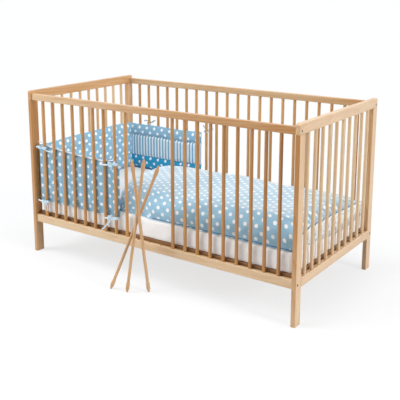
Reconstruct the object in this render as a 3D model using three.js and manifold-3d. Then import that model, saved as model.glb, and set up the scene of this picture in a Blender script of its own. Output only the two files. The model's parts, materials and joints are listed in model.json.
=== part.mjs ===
// Baby crib in solid beech: two end frames, two slatted sides, three slip-out bars,
// a slatted bed base on height pins, a mattress, a quilt and a U-shaped padded bumper.
// Millimetres, +Z up. X runs along the crib with the head end at -X, and the side
// that the slip-out bars belong to faces -Y. The floor is z = 0.
import * as THREE from 'three';
import { mergeVertices } from 'three/addons/utils/BufferGeometryUtils.js';
import Module from 'manifold-3d';

// ---- driving dimensions ---------------------------------------------------------

const cribLength = 1450;
const cribDepth = 750;
const legHeight = 153;          // floor to the underside of the bottom rails
const postThickness = 20;       // along X, and the end rails are as thick
const postWidth = 45;           // along Y
const endTopRailHeight = 43;
const endBottomRailHeight = 38;
const endTopRailUnderside = 761;
const endRailCornerRadius = 10;
const sideRailThickness = 18;
const sideRailSetback = 6;      // from the front of the posts
const sideTopRailHeight = 31;
const sideTopRailDrop = 14;     // below the top of the end rails
const sideBottomRailHeight = 38;

const fitGap = 0.3;             // between pieces that touch
const slatDiameter = 15;
const slatPitch = 64;
const slatSeat = 12;            // depth of a slat's end in its rail
const slatSides = 8;
const slipBarCount = 3;         // slats left out of the middle of the front

const tenonLength = 16;         // up into the end top rails
const tenonThickness = 9;
const tenonShoulder = 6;        // rail or post left standing around a tenon
const tenonBoltGap = 9;         // from a tenon to the bolt's head

const barDiameter = 13.5;
const barCollarDiameter = 17;
const barCollarLength = 26;
const barCollarTaper = 9;
const barPinDiameter = 10.5;
const barPinLength = 12;
const barTipReach = 18;         // how far the sprung tip stands out of its collar
const barTipTravel = 14;
const barTipHidden = 16;        // part of the tip inside the collar
const barTipNose = 7;           // diameter of the tip's rounded end
const barShoulderPlay = 1;      // between the rails, both shoulders together
const barFloorGap = 0.2;
const barSides = 10;
// Where each bar's foot and head stand: along X from the crib's middle, and out from its front.
const barAFootX = -101.6;
const barAFootOut = 132.2;
const barAHeadX = 87.4;
const barAHeadOut = 25.2;
const barBFootX = -21.8;
const barBFootOut = 117.5;
const barBHeadX = 50.6;
const barBHeadOut = 77.3;
const barCFootX = 52.9;
const barCFootOut = 61.1;
const barCHeadX = 24.1;
const barCHeadOut = 124.4;
const socketPlay = 1.5;
const footSocketDepth = 14;
const headSocketDepth = 20;

const boltHeadDiameter = 10;
const boltHeadHeight = 4;
const boltShankDiameter = 6;
const boltGrip = 30;            // length of the shank in the side rail
const boltSides = 8;
const spareHoleRise = 38;       // above the bottom side rails
const spareHoleDiameter = 6;
const spareHoleDepth = 12;

const baseStandsProud = 12.7;   // top of the base frame above the bottom side rails
const baseMarginX = 3;          // base frame to end frame
const baseMarginY = 2;          // base frame to side rail
const baseRailThickness = 22;
const baseRailHeight = 36;
const baseLedgeWidth = 11;
const baseSlatWidth = 60;
const baseSlatThickness = 10;
const baseSlatCount = 13;
const baseBattenWidth = 40;
const baseBattenHeight = 18;
const basePinDiameter = 8;
const basePinSeat = 13;         // depth of a height pin in its post
const basePinReach = 15;        // how far a height pin stands out of its post
const basePinEdge = 4;          // post left beside a height pin
const basePinSteps = 3;
const basePinPitch = 100;
const basePinSides = 8;

const mattressThickness = 85;
const mattressRadius = 24;
const softGap = 0.6;            // between soft pieces and what they lie on

const bumperPadHeight = 250;
const bumperTuck = 27;          // how far the lower edge is tucked below the mattress top
const bumperPadThickness = 18;
const bumperSkirtThickness = 5;
const bumperSlatGap = 1;
const bumperCornerRadius = 24;
const bumperFrontReach = 524;   // from the head end, along the front
const bumperBackReach = 494;

const quiltHeadEdge = 300;      // bare mattress at the head end
const quiltEndMargin = 7;
const quiltSideMargin = 2;
const quiltFrontHeight = 104;
const quiltMiddleHeight = 96;
const quiltBackHeight = 30;
const quiltBumperGap = 3;
const quiltEdgeRadius = 18;
const quiltFootSlope = 60;

// ---- places worked out from them --------------------------------------------------

const endX = cribLength / 2;
const innerX = endX - postThickness;
const sideY = cribDepth / 2;
const postInnerY = sideY - postWidth;
const railOuterY = sideY - sideRailSetback;
const railInnerY = railOuterY - sideRailThickness;
const slatPlaneY = railOuterY - sideRailThickness / 2;
const tenonY = slatPlaneY - boltHeadDiameter / 2 - tenonBoltGap;
const endPlaneX = endX - postThickness / 2;
const topZ = endTopRailUnderside + endTopRailHeight;
const sideTopRailTop = topZ - sideTopRailDrop;
const sideTopRailUnderside = sideTopRailTop - sideTopRailHeight;
const sideBottomRailTop = legHeight + sideBottomRailHeight;
const endBottomRailTop = legHeight + endBottomRailHeight;
const lowerBoltHeight = legHeight + sideBottomRailHeight / 2;
const upperBoltHeight = sideTopRailUnderside + sideTopRailHeight / 2;
const baseTop = sideBottomRailTop + baseStandsProud;
const basePinY = postInnerY + basePinDiameter / 2 + basePinEdge;
const basePinZ = baseTop - baseRailHeight - fitGap - basePinDiameter / 2;
// The bottom rail's tenon stays above the lowest height pin, which enters the same post.
const railTenonUnderside =
  Math.max(legHeight, basePinZ + basePinDiameter / 2 - fitGap) + tenonShoulder / 2;

const slatsEachWay = Math.floor((innerX - slatDiameter) / slatPitch);
const sideSlatPlaces = [];
for (let k = -slatsEachWay; k <= slatsEachWay; k++) sideSlatPlaces.push(k * slatPitch);
const slipReach = ((slipBarCount - 1) / 2) * slatPitch;
const slipPlaces = sideSlatPlaces.filter((x) => Math.abs(x) <= slipReach);
const fixedPlaces = sideSlatPlaces.filter((x) => Math.abs(x) > slipReach);

const endSlatPairs = Math.floor((postInnerY - slatDiameter - slatPitch / 2) / slatPitch) + 1;
const endSlatPlaces = [];
for (let k = 0; k < endSlatPairs; k++) {
  const y = slatPitch / 2 + k * slatPitch;
  endSlatPlaces.push(-y, y);
}

// ---- materials ----------------------------------------------------------------------

const finish = (color, roughness, metalness = 0) =>
  new THREE.MeshStandardMaterial({ color, roughness, metalness, flatShading: true });
const beech = finish(0xd9b184, 0.5);
const beechPlain = finish(0xc99b68, 0.6);
const zincSteel = finish(0x8b8781, 0.35, 1);
const whiteCotton = finish(0xf2f0ee, 0.9);
const dottedCotton = finish(0x9fc4dd, 0.9);
const bumperCotton = finish(0x5f9cc8, 0.9);

// ---- shape helpers --------------------------------------------------------------------

const wasm = await Module();
wasm.setup();

function toSolid(geometry) {
  const plain = geometry.clone();
  plain.deleteAttribute('normal');
  plain.deleteAttribute('uv');
  const merged = mergeVertices(plain, 1e-4);
  return new wasm.Manifold(new wasm.Mesh({
    numProp: 3,
    vertProperties: new Float32Array(merged.attributes.position.array),
    triVerts: new Uint32Array(merged.index.array),
  }));
}

function toGeometry(solid) {
  const mesh = solid.getMesh();
  const geometry = new THREE.BufferGeometry();
  geometry.setAttribute('position', new THREE.BufferAttribute(mesh.vertProperties, 3));
  geometry.setIndex(new THREE.BufferAttribute(mesh.triVerts, 1));
  geometry.computeVertexNormals();
  return geometry;
}

const joined = (first, others) =>
  toGeometry(others.reduce((whole, other) => whole.add(toSolid(other)), toSolid(first)));
const cut = (block, tools) =>
  toGeometry(tools.reduce((left, tool) => left.subtract(toSolid(tool)), toSolid(block)));

// A block between two corners.
function block([x0, y0, z0], [x1, y1, z1]) {
  return new THREE.BoxGeometry(x1 - x0, y1 - y0, z1 - z0)
    .translate((x0 + x1) / 2, (y0 + y1) / 2, (z0 + z1) / 2);
}

// A round rod along an axis, from start to end on that axis.
function rod(axis, diameter, start, end, [across1, across2], sides) {
  const shape = new THREE.CylinderGeometry(diameter / 2, diameter / 2, end - start, sides);
  if (axis === 'x') {
    return shape.rotateZ(Math.PI / 2).translate((start + end) / 2, across1, across2);
  }
  return shape.rotateX(Math.PI / 2).translate(across1, across2, (start + end) / 2);
}

// Reflects a shape in the planes x = 0 and y = 0 where a sign is -1.
function mirrored(geometry, signX, signY = 1) {
  const copy = geometry.clone().scale(signX, signY, 1);
  if (signX * signY > 0) return copy;
  const corners = copy.index.array;
  for (let i = 0; i < corners.length; i += 3) {
    [corners[i], corners[i + 1]] = [corners[i + 1], corners[i]];
  }
  copy.computeVertexNormals();
  return copy;
}

const crib = new THREE.Group();

function addPiece(name, geometry, material, parent = crib) {
  const mesh = new THREE.Mesh(geometry, material);
  mesh.name = name;
  parent.add(mesh);
  return mesh;
}

const endSides = [['left', -1], ['right', 1]];
const longSides = [['front', -1], ['back', 1]];

// ---- end frames: posts, top rail, bottom rail with its slats -----------------------------

const boltHole = (height) => [
  rod('x', boltShankDiameter + 2 * fitGap, innerX - 1, endX + 1, [slatPlaneY, height], boltSides),
  rod('x', boltHeadDiameter + 2 * fitGap, endX - boltHeadHeight - fitGap, endX + 1,
    [slatPlaneY, height], boltSides),
];

function postGeometry() {
  const shaft = block([innerX, postInnerY, 0], [endX, sideY, endTopRailUnderside - fitGap]);
  const tenon = block(
    [endPlaneX - tenonThickness / 2, postInnerY + tenonShoulder, endTopRailUnderside - 1],
    [endPlaneX + tenonThickness / 2, tenonY, endTopRailUnderside + tenonLength]);
  const railMortise = block(
    [endPlaneX - tenonThickness / 2 - fitGap, postInnerY - 1,
      railTenonUnderside - fitGap],
    [endPlaneX + tenonThickness / 2 + fitGap, tenonY + fitGap,
      endBottomRailTop - tenonShoulder + fitGap]);
  const spareHole = rod('x', spareHoleDiameter, innerX - 1, innerX + spareHoleDepth,
    [slatPlaneY, sideBottomRailTop + spareHoleRise], boltSides);
  const pinHoles = [];
  for (let step = 0; step < basePinSteps; step++) {
    pinHoles.push(rod('x', basePinDiameter + 2 * fitGap, innerX - 1,
      innerX + basePinSeat + fitGap, [basePinY, basePinZ + step * basePinPitch], basePinSides));
  }
  const whole = joined(shaft, [tenon]);
  return cut(whole, [railMortise, spareHole, ...pinHoles, ...boltHole(lowerBoltHeight)]);
}

function endTopRailGeometry() {
  const r = endRailCornerRadius;
  const outline = new THREE.Shape();
  outline.moveTo(-sideY, endTopRailUnderside);
  outline.lineTo(sideY, endTopRailUnderside);
  outline.lineTo(sideY, topZ - r);
  outline.absarc(sideY - r, topZ - r, r, 0, Math.PI / 2, false);
  outline.lineTo(-sideY + r, topZ);
  outline.absarc(-sideY + r, topZ - r, r, Math.PI / 2, Math.PI, false);
  const plank = new THREE.ExtrudeGeometry(outline,
    { depth: postThickness, bevelEnabled: false, curveSegments: 5 });
  // The outline is drawn in Y and Z, and the extrusion runs along X.
  plank.applyMatrix4(new THREE.Matrix4().makeBasis(
    new THREE.Vector3(0, 1, 0), new THREE.Vector3(0, 0, 1), new THREE.Vector3(1, 0, 0)));
  plank.translate(endX - postThickness, 0, 0);
  const tools = endSlatPlaces.map((y) => rod('z', slatDiameter + 2 * fitGap,
    endTopRailUnderside - 1, endTopRailUnderside + slatSeat + fitGap, [endPlaneX, y], slatSides));
  for (const side of [-1, 1]) {
    const mortise = block(
      [endPlaneX - tenonThickness / 2 - fitGap, postInnerY + tenonShoulder - fitGap,
        endTopRailUnderside - 1],
      [endPlaneX + tenonThickness / 2 + fitGap, tenonY + fitGap,
        endTopRailUnderside + tenonLength + fitGap]);
    tools.push(mirrored(mortise, 1, side));
    tools.push(...boltHole(upperBoltHeight).map((hole) => mirrored(hole, 1, side)));
  }
  return cut(plank, tools);
}

function endSlatPanelGeometry() {
  const railHalf = postInnerY - fitGap;
  const rail = block([endX - postThickness, -railHalf, legHeight],
    [endX, railHalf, endBottomRailTop]);
  const parts = [block(
    [endPlaneX - tenonThickness / 2, -tenonY, railTenonUnderside],
    [endPlaneX + tenonThickness / 2, tenonY, endBottomRailTop - tenonShoulder])];
  for (const y of endSlatPlaces) {
    parts.push(rod('z', slatDiameter, endBottomRailTop - slatSeat,
      endTopRailUnderside + slatSeat, [endPlaneX, y], slatSides));
  }
  return joined(rail, parts);
}

for (const [end, signX] of endSides) {
  for (const [side, signY] of longSides) {
    addPiece(`post_${side}_${end}`, mirrored(postGeometry(), signX, signY), beech);
  }
  addPiece(`end_top_rail_${end}`, mirrored(endTopRailGeometry(), signX), beech);
  addPiece(`end_slat_panel_${end}`, mirrored(endSlatPanelGeometry(), signX), beech);
}

// ---- long sides: rails bored for the slats, the bolts and the slip-out bars -----------------

const socketDiameter = barPinDiameter + socketPlay;

// Side rails are drawn at +Y and mirrored for the front.
function sideRailGeometry(underside, height, bores, boltHeight) {
  const half = innerX - fitGap;
  const rail = block([-half, railInnerY, underside], [half, railOuterY, underside + height]);
  const tools = [...bores];
  for (const sign of [-1, 1]) {
    const hole = rod('x', boltShankDiameter + 2 * fitGap, innerX - boltGrip - fitGap, innerX + 1,
      [slatPlaneY, boltHeight], boltSides);
    tools.push(mirrored(hole, sign));
  }
  return cut(rail, tools);
}

const slatBore = (x, from, to) =>
  rod('z', slatDiameter + 2 * fitGap, from, to, [x, slatPlaneY], slatSides);
const socketBore = (x, from, to) => rod('z', socketDiameter, from, to, [x, slatPlaneY], barSides);
const slatRod = (x) => rod('z', slatDiameter, sideBottomRailTop - slatSeat,
  sideTopRailUnderside + slatSeat, [x, slatPlaneY], slatSides);

const upperBores = (places) => places.map((x) =>
  slatBore(x, sideTopRailUnderside - 1, sideTopRailUnderside + slatSeat + fitGap));
const lowerBores = (places) => places.map((x) =>
  slatBore(x, sideBottomRailTop - slatSeat - fitGap, sideBottomRailTop + 1));
const headSockets = slipPlaces.map((x) =>
  socketBore(x, sideTopRailUnderside - 1, sideTopRailUnderside + headSocketDepth));
const footSockets = slipPlaces.map((x) =>
  socketBore(x, sideBottomRailTop - footSocketDepth, sideBottomRailTop + 1));

const backTopRail = sideRailGeometry(sideTopRailUnderside, sideTopRailHeight,
  upperBores(sideSlatPlaces), upperBoltHeight);
const backBottomRail = sideRailGeometry(legHeight, sideBottomRailHeight, [], lowerBoltHeight);
const frontTopRail = sideRailGeometry(sideTopRailUnderside, sideTopRailHeight,
  [...upperBores(fixedPlaces), ...headSockets], upperBoltHeight);
const frontBottomRail = sideRailGeometry(legHeight, sideBottomRailHeight,
  [...lowerBores(fixedPlaces), ...footSockets], lowerBoltHeight);

addPiece('back_top_rail', backTopRail, beech);
addPiece('back_slat_panel', joined(backBottomRail, sideSlatPlaces.map(slatRod)), beech);
addPiece('front_top_rail', mirrored(frontTopRail, 1, -1), beech);
addPiece('front_bottom_rail', mirrored(frontBottomRail, 1, -1), beech);
fixedPlaces.forEach((x, i) => {
  const number = String(i + 1).padStart(2, '0');
  addPiece(`front_slat_${number}`, mirrored(slatRod(x), 1, -1), beech);
});

// ---- furniture bolts through the end frames into the side rails ------------------------------

function boltGeometry(height) {
  const head = rod('x', boltHeadDiameter, endX - boltHeadHeight, endX - fitGap,
    [slatPlaneY, height], boltSides);
  const shank = rod('x', boltShankDiameter, innerX - boltGrip, endX - boltHeadHeight / 2,
    [slatPlaneY, height], boltSides);
  return joined(head, [shank]);
}

for (const [end, signX] of endSides) {
  for (const [side, signY] of longSides) {
    for (const [level, height] of [['upper', upperBoltHeight], ['lower', lowerBoltHeight]]) {
      addPiece(`bolt_${level}_${side}_${end}`,
        mirrored(boltGeometry(height), signX, signY), zincSteel);
    }
  }
}

// ---- slip-out bars: turned bars with a sprung tip at the head -----------------------------------

const barBody = sideTopRailUnderside - sideBottomRailTop - barShoulderPlay;
const barLength = barPinLength + barBody;   // foot of the pin to the upper shoulder

function barGeometry() {
  const pin = barPinDiameter / 2;
  const collar = barCollarDiameter / 2;
  const shaft = barDiameter / 2;
  const bore = pin + fitGap;
  const boreDepth = barTipHidden + barTipTravel + 1;
  const footShoulder = barPinLength;
  const points = [[0, 0], [pin - 2, 0], [pin, 2], [pin, footShoulder],
    [collar, footShoulder], [collar, footShoulder + barCollarLength],
    [shaft, footShoulder + barCollarLength + barCollarTaper],
    [shaft, barLength - barCollarLength - barCollarTaper],
    [collar, barLength - barCollarLength], [collar, barLength],
    [bore, barLength], [bore, barLength - boreDepth], [0, barLength - boreDepth]];
  const profile = points.map(([r, z]) => new THREE.Vector2(r, z));
  return new THREE.LatheGeometry(profile, barSides).rotateX(Math.PI / 2);
}

function tipGeometry() {
  const r = barPinDiameter / 2;
  const nose = barTipNose / 2;
  const points = [[0, -barTipHidden], [r, -barTipHidden], [r, barTipReach / 2],
    [nose, barTipReach - nose / 2], [nose / 2, barTipReach], [0, barTipReach]];
  const profile = points.map(([radius, z]) => new THREE.Vector2(radius, z));
  return new THREE.LatheGeometry(profile, barSides).rotateX(Math.PI / 2);
}

// The bars stand crossed on the floor in front of their gap. A bar's stand is the point
// on its axis at the end of its pin, and the direction that it leans in.
function barStand(footX, footOut, headX, headOut) {
  const acrossX = headX - footX;
  const acrossY = footOut - headOut;
  const whole = barLength + barTipReach;
  const rise = Math.sqrt(whole ** 2 - acrossX ** 2 - acrossY ** 2);
  const direction = new THREE.Vector3(acrossX, acrossY, rise).normalize();
  const footLift = (barPinDiameter / 2) * Math.hypot(direction.x, direction.y) + barFloorGap;
  return { foot: new THREE.Vector3(footX, -sideY - footOut, footLift), direction };
}

// Moves a bar's stand until its shaft lies a fit gap from the shaft of the bar it leans on.
function leanOn(stand, other) {
  const across = new THREE.Vector3().crossVectors(other.direction, stand.direction).normalize();
  const apart = stand.foot.clone().sub(other.foot).dot(across);
  const move = Math.sign(apart) * (barDiameter + fitGap) - apart;
  const height = stand.foot.z;
  stand.foot.addScaledVector(across, move);
  stand.foot.addScaledVector(stand.direction, (height - stand.foot.z) / stand.direction.z);
}

const barStands = {
  a: barStand(barAFootX, barAFootOut, barAHeadX, barAHeadOut),
  b: barStand(barBFootX, barBFootOut, barBHeadX, barBHeadOut),
  c: barStand(barCFootX, barCFootOut, barCHeadX, barCHeadOut),
};
leanOn(barStands.b, barStands.c);

for (const [name, { foot, direction }] of Object.entries(barStands)) {
  const stand = new THREE.Group();
  stand.position.copy(foot);
  stand.quaternion.setFromUnitVectors(new THREE.Vector3(0, 0, 1), direction);
  crib.add(stand);
  addPiece(`slip_bar_${name}`, barGeometry(), beech, stand);
  addPiece(`slip_bar_tip_${name}`, tipGeometry().translate(0, 0, barLength), beechPlain, stand);
}

// ---- bed base: a frame on four height pins, with its slats on ledges ---------------------------

const baseX = innerX - baseMarginX;
const baseY = railInnerY - baseMarginY;
const baseUnderside = baseTop - baseRailHeight;
const baseInnerX = baseX - baseRailThickness;
const baseInnerY = baseY - baseRailThickness;
const ledgeZ = baseTop - baseSlatThickness - fitGap;
const baseSlatHalf = baseInnerY + baseLedgeWidth - fitGap;

const baseSide = cut(
  block([-baseX, baseInnerY, baseUnderside], [baseX, baseY, baseTop]),
  [block([-baseInnerX + fitGap, baseInnerY - 1, ledgeZ],
    [baseInnerX - fitGap, baseInnerY + baseLedgeWidth, baseTop + 1])]);
const baseEnd = block([baseInnerX, -baseInnerY + fitGap, baseUnderside],
  [baseX, baseInnerY - fitGap, baseTop]);

for (const [side, signY] of longSides) {
  addPiece(`base_side_${side}`, mirrored(baseSide, 1, signY), beechPlain);
}
for (const [end, signX] of endSides) {
  addPiece(`base_end_${end}`, mirrored(baseEnd, signX), beechPlain);
}

const batten = block(
  [-baseInnerX + fitGap, -baseBattenWidth / 2, ledgeZ + fitGap - baseBattenHeight],
  [baseInnerX - fitGap, baseBattenWidth / 2, ledgeZ + fitGap + 1]);
const baseSlatPitch = (2 * baseInnerX) / baseSlatCount;
const baseSlats = [];
for (let k = 0; k < baseSlatCount; k++) {
  const x = -baseInnerX + (k + 0.5) * baseSlatPitch;
  baseSlats.push(block([x - baseSlatWidth / 2, -baseSlatHalf, ledgeZ + fitGap],
    [x + baseSlatWidth / 2, baseSlatHalf, baseTop]));
}
addPiece('base_slats', joined(batten, baseSlats), beechPlain);

const basePin = rod('x', basePinDiameter, innerX - basePinReach, innerX + basePinSeat,
  [basePinY, basePinZ], basePinSides);
for (const [end, signX] of endSides) {
  for (const [side, signY] of longSides) {
    addPiece(`height_pin_${side}_${end}`, mirrored(basePin, signX, signY), zincSteel);
  }
}

// ---- bedding ---------------------------------------------------------------------------------------

// The mattress fills the space inside the bumper's lower edge.
const bumperOuterX = innerX - bumperSlatGap;
const bumperOuterY = railInnerY - bumperSlatGap / 2;
const mattressHalfX = bumperOuterX - bumperSkirtThickness - softGap;
const mattressHalfY = bumperOuterY - bumperSkirtThickness - softGap;
const mattressUnderside = baseTop + softGap;
const mattressTop = mattressUnderside + mattressThickness;

function roundedPlan(halfX, halfY, radius) {
  const plan = new THREE.Shape();
  plan.moveTo(halfX - radius, -halfY);
  plan.absarc(halfX - radius, -halfY + radius, radius, -Math.PI / 2, 0, false);
  plan.absarc(halfX - radius, halfY - radius, radius, 0, Math.PI / 2, false);
  plan.absarc(-halfX + radius, halfY - radius, radius, Math.PI / 2, Math.PI, false);
  plan.absarc(-halfX + radius, -halfY + radius, radius, Math.PI, 1.5 * Math.PI, false);
  return plan;
}

const mattress = new THREE.ExtrudeGeometry(
  roundedPlan(mattressHalfX, mattressHalfY, mattressRadius),
  { depth: mattressThickness, bevelEnabled: false, curveSegments: 4 })
  .translate(0, 0, mattressUnderside);
addPiece('mattress', mattress, whiteCotton);

// The bumper's plan is a U around the head end. Its padded wall stands above the mattress,
// and its thin lower edge is tucked between the mattress and the slats.
function bumperPlan(thickness) {
  const outerX = -bumperOuterX;
  const outerY = bumperOuterY;
  const r = bumperCornerRadius;
  const inner = Math.max(r - thickness, 2);
  const t = thickness;
  const frontEnd = -innerX + bumperFrontReach;
  const backEnd = -innerX + bumperBackReach;
  const plan = new THREE.Shape();
  plan.moveTo(frontEnd, -outerY);
  plan.lineTo(frontEnd, -outerY + t);
  plan.lineTo(outerX + t + inner, -outerY + t);
  plan.absarc(outerX + t + inner, -outerY + t + inner, inner, -Math.PI / 2, Math.PI, true);
  plan.lineTo(outerX + t, outerY - t - inner);
  plan.absarc(outerX + t + inner, outerY - t - inner, inner, Math.PI, Math.PI / 2, true);
  plan.lineTo(backEnd, outerY - t);
  plan.lineTo(backEnd, outerY);
  plan.lineTo(outerX + r, outerY);
  plan.absarc(outerX + r, outerY - r, r, Math.PI / 2, Math.PI, false);
  plan.lineTo(outerX, -outerY + r);
  plan.absarc(outerX + r, -outerY + r, r, Math.PI, 1.5 * Math.PI, false);
  return plan;
}

function bumperWall(thickness, from, to) {
  return new THREE.ExtrudeGeometry(bumperPlan(thickness),
    { depth: to - from, bevelEnabled: false, curveSegments: 4 }).translate(0, 0, from);
}

const padUnderside = mattressTop + softGap;
addPiece('bumper', joined(
  bumperWall(bumperPadThickness, padUnderside, padUnderside + bumperPadHeight),
  [bumperWall(bumperSkirtThickness, mattressTop - bumperTuck, padUnderside + 1)]), bumperCotton);

// The quilt is a section across the bed, cut to a plan that is narrower between the
// bumper's two arms and that slopes down at the foot.
function quiltGeometry() {
  const underside = mattressTop + softGap;
  const halfY = mattressHalfY - quiltSideMargin;
  const armY = bumperOuterY - bumperPadThickness - quiltBumperGap;
  const headX = -mattressHalfX + quiltHeadEdge;
  const footX = mattressHalfX - quiltEndMargin;
  const armX = -innerX + bumperFrontReach + quiltBumperGap;
  const r = quiltEdgeRadius;
  const section = new THREE.Shape();
  section.moveTo(-halfY, underside);
  section.lineTo(halfY, underside);
  section.lineTo(halfY, underside + quiltBackHeight);
  section.lineTo(halfY - 2 * r, underside + quiltBackHeight + r);
  section.lineTo(halfY / 2, underside + quiltMiddleHeight);
  section.lineTo(-halfY + r, underside + quiltFrontHeight);
  section.absarc(-halfY + r, underside + quiltFrontHeight - r, r, Math.PI / 2, Math.PI, false);
  const along = new THREE.ExtrudeGeometry(section,
    { depth: footX - headX, bevelEnabled: false, curveSegments: 4 });
  along.applyMatrix4(new THREE.Matrix4().makeBasis(
    new THREE.Vector3(0, 1, 0), new THREE.Vector3(0, 0, 1), new THREE.Vector3(1, 0, 0)));
  along.translate(headX, 0, 0);

  const slope = new THREE.Shape();
  slope.moveTo(footX + 1, underside + quiltBackHeight);
  slope.lineTo(footX + 1, underside + 2 * quiltFrontHeight);
  slope.lineTo(footX - quiltFootSlope - quiltFrontHeight, underside + 2 * quiltFrontHeight);
  slope.lineTo(footX - quiltFootSlope, underside + quiltFrontHeight);
  const footWedge = new THREE.ExtrudeGeometry(slope,
    { depth: cribDepth, bevelEnabled: false })
    .rotateX(Math.PI / 2).translate(0, sideY, 0);
  const arms = [-1, 1].map((sign) => mirrored(
    block([headX - 1, armY, underside - 1], [armX, cribDepth, underside + 2 * quiltFrontHeight]),
    1, sign));
  return cut(along, [footWedge, ...arms]);
}
addPiece('quilt', quiltGeometry(), dottedCotton);

// The origin is on the floor, at the middle of the rectangle that the crib and its bars cover.
const covered = new THREE.Box3().setFromObject(crib, true);
crib.position.y = -(covered.min.y + covered.max.y) / 2;

export default crib;
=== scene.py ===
# %% [markdown]
# # A slatted baby crib with its bedding
# The real crib is solid beech. Two end frames carry two slatted sides, and furniture bolts hold
# them together. Three bars of the front slip out, and here they stand crossed before their gap.
# Inside lie a slatted base on four pins, a foam mattress, a filled quilt and a padded bumper that
# ties to the slats.
#
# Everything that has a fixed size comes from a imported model, the frame. It could be measured once
# and typed in again here, but then a change of size would leave the looks behind. So each piece
# below asks the frame where it belongs, and the script only adds what the frame can't hold:
# rounded edges, grain, cloth, seams and ties.

# %% Load the frame
import json
import math
import random

import bmesh
import bpy
import numpy as np
from mathutils import Matrix, Vector


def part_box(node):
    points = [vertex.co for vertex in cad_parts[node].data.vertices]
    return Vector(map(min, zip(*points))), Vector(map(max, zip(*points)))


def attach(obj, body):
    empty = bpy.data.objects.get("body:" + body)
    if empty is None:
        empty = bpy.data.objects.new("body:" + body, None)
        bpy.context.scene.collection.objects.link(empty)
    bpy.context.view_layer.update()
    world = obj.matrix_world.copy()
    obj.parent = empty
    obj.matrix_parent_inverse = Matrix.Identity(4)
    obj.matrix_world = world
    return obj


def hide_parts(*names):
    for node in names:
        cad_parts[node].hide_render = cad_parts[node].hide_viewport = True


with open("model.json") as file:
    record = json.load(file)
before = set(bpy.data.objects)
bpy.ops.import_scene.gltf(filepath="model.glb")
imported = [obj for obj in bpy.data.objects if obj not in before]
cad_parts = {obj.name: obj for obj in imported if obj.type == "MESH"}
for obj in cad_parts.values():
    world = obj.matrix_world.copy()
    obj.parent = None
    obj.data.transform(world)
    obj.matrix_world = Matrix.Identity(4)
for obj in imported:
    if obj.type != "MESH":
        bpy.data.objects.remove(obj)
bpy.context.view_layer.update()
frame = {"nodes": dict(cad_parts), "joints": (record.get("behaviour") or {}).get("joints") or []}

# %% [markdown]
# The crib's own middle isn't the frame's origin, because the bars on the floor widen the
# rectangle that the origin lies in the middle of. The posts give the crib's real middle and
# size, and most places below are worked out from these few values.

# %% Measure the crib
post_low, post_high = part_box("post_front_left")
back_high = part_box("post_back_right")[1]
middle_y = (post_low.y + back_high.y) / 2
half_length = back_high.x
half_depth = back_high.y - middle_y
post_thickness = post_high.x - post_low.x
post_width = post_high.y - post_low.y
inside_x = half_length - post_thickness
top_rail_low, top_rail_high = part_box("front_top_rail")
bottom_rail_low, bottom_rail_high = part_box("front_bottom_rail")
slat_low, slat_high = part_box("front_slat_01")
slat_diameter = slat_high.x - slat_low.x
slat_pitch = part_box("front_slat_02")[0].x - slat_low.x
slat_y = middle_y - (slat_low.y + slat_high.y) / 2
print(f"the crib is {2 * half_length:.3f} by {2 * half_depth:.3f} m")
print(f"its slats stand {slat_pitch:.3f} m apart")

# %% [markdown]
# ## Camera, floor and light
# A long lens from the crib's foot end, a little above it, keeps the long sides nearly parallel.
# The lens is shifted down by a small part of the picture, as a studio camera's is, so that the
# posts stay close to upright. The camera comes first, because every later choice is judged
# through it.

# %% Place the camera
def add_object(name, data):
    thing = bpy.data.objects.new(name, data)
    bpy.context.scene.collection.objects.link(thing)
    return thing


camera_place = Vector((1.893, middle_y - 2.692, 1.304))
camera_turn, camera_dip = math.radians(35.15), math.radians(11.66)
lens = bpy.data.cameras.new("camera")
lens.lens, lens.shift_x, lens.shift_y = 64.75, 0.0089, -0.17
camera = add_object("camera", lens)
camera.location = camera_place
camera.rotation_euler = (math.pi / 2 - camera_dip, 0, camera_turn)
bpy.context.scene.camera = camera
crib_middle = Vector((0, middle_y, 0.4))
print("the camera stands", round((camera_place - crib_middle).length, 2), "m away")

# %% [markdown]
# Materials are built from nodes. A few small helpers keep that readable. The first adds a node to
# a tree and fills its inputs, each with a number or with another node's output, and the others
# are short names for the kinds of node that come up most.

# %% Helpers for single nodes
def wire(tree, kind, inputs=(), **settings):
    node = tree.nodes.new("ShaderNode" + kind)
    for key, value in settings.items():
        setattr(node, key, value)
    for key, value in dict(inputs).items():
        if isinstance(value, bpy.types.NodeSocket):
            tree.links.new(value, node.inputs[key])
        else:
            node.inputs[key].default_value = value
    return node


def calc(tree, operation, *values):
    return wire(tree, "Math", dict(enumerate(values)), operation=operation).outputs[0]


def weigh(tree, start, *parts):
    """start plus each part's value times its weight."""
    for value, weight in parts:
        start = calc(tree, "ADD", start, calc(tree, "MULTIPLY", value, weight))
    return start


def vector(tree, operation, *values, **named):
    node = wire(tree, "VectorMath", {**dict(enumerate(values)), **named}, operation=operation)
    return node.outputs["Value" if operation == "LENGTH" else "Vector"]


def noise(tree, place, detail, scale=1, result="Fac", **more):
    inputs = {"Vector": place, "Scale": scale, "Detail": detail, **more}
    return wire(tree, "TexNoise", inputs).outputs[result]


def ease(tree, value, low, high):
    """0 below low, 1 above high, and smooth between them."""
    ranges = {"Value": value, "From Min": low, "From Max": high}
    return wire(tree, "MapRange", ranges, interpolation_type="SMOOTHSTEP").outputs[0]


def blend(tree, factor, first, second, how="MIX"):
    colors = {0: factor, 6: first, 7: second}          # a Mix node's places for two colours
    return wire(tree, "Mix", colors, data_type="RGBA", blend_type=how).outputs[2]


print("node helpers are ready")

# %% [markdown]
# An effect that several materials share becomes a node group, with named inputs and outputs.
# The shader itself stays in the material, and its plain numbers are set on its own sockets.

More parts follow.
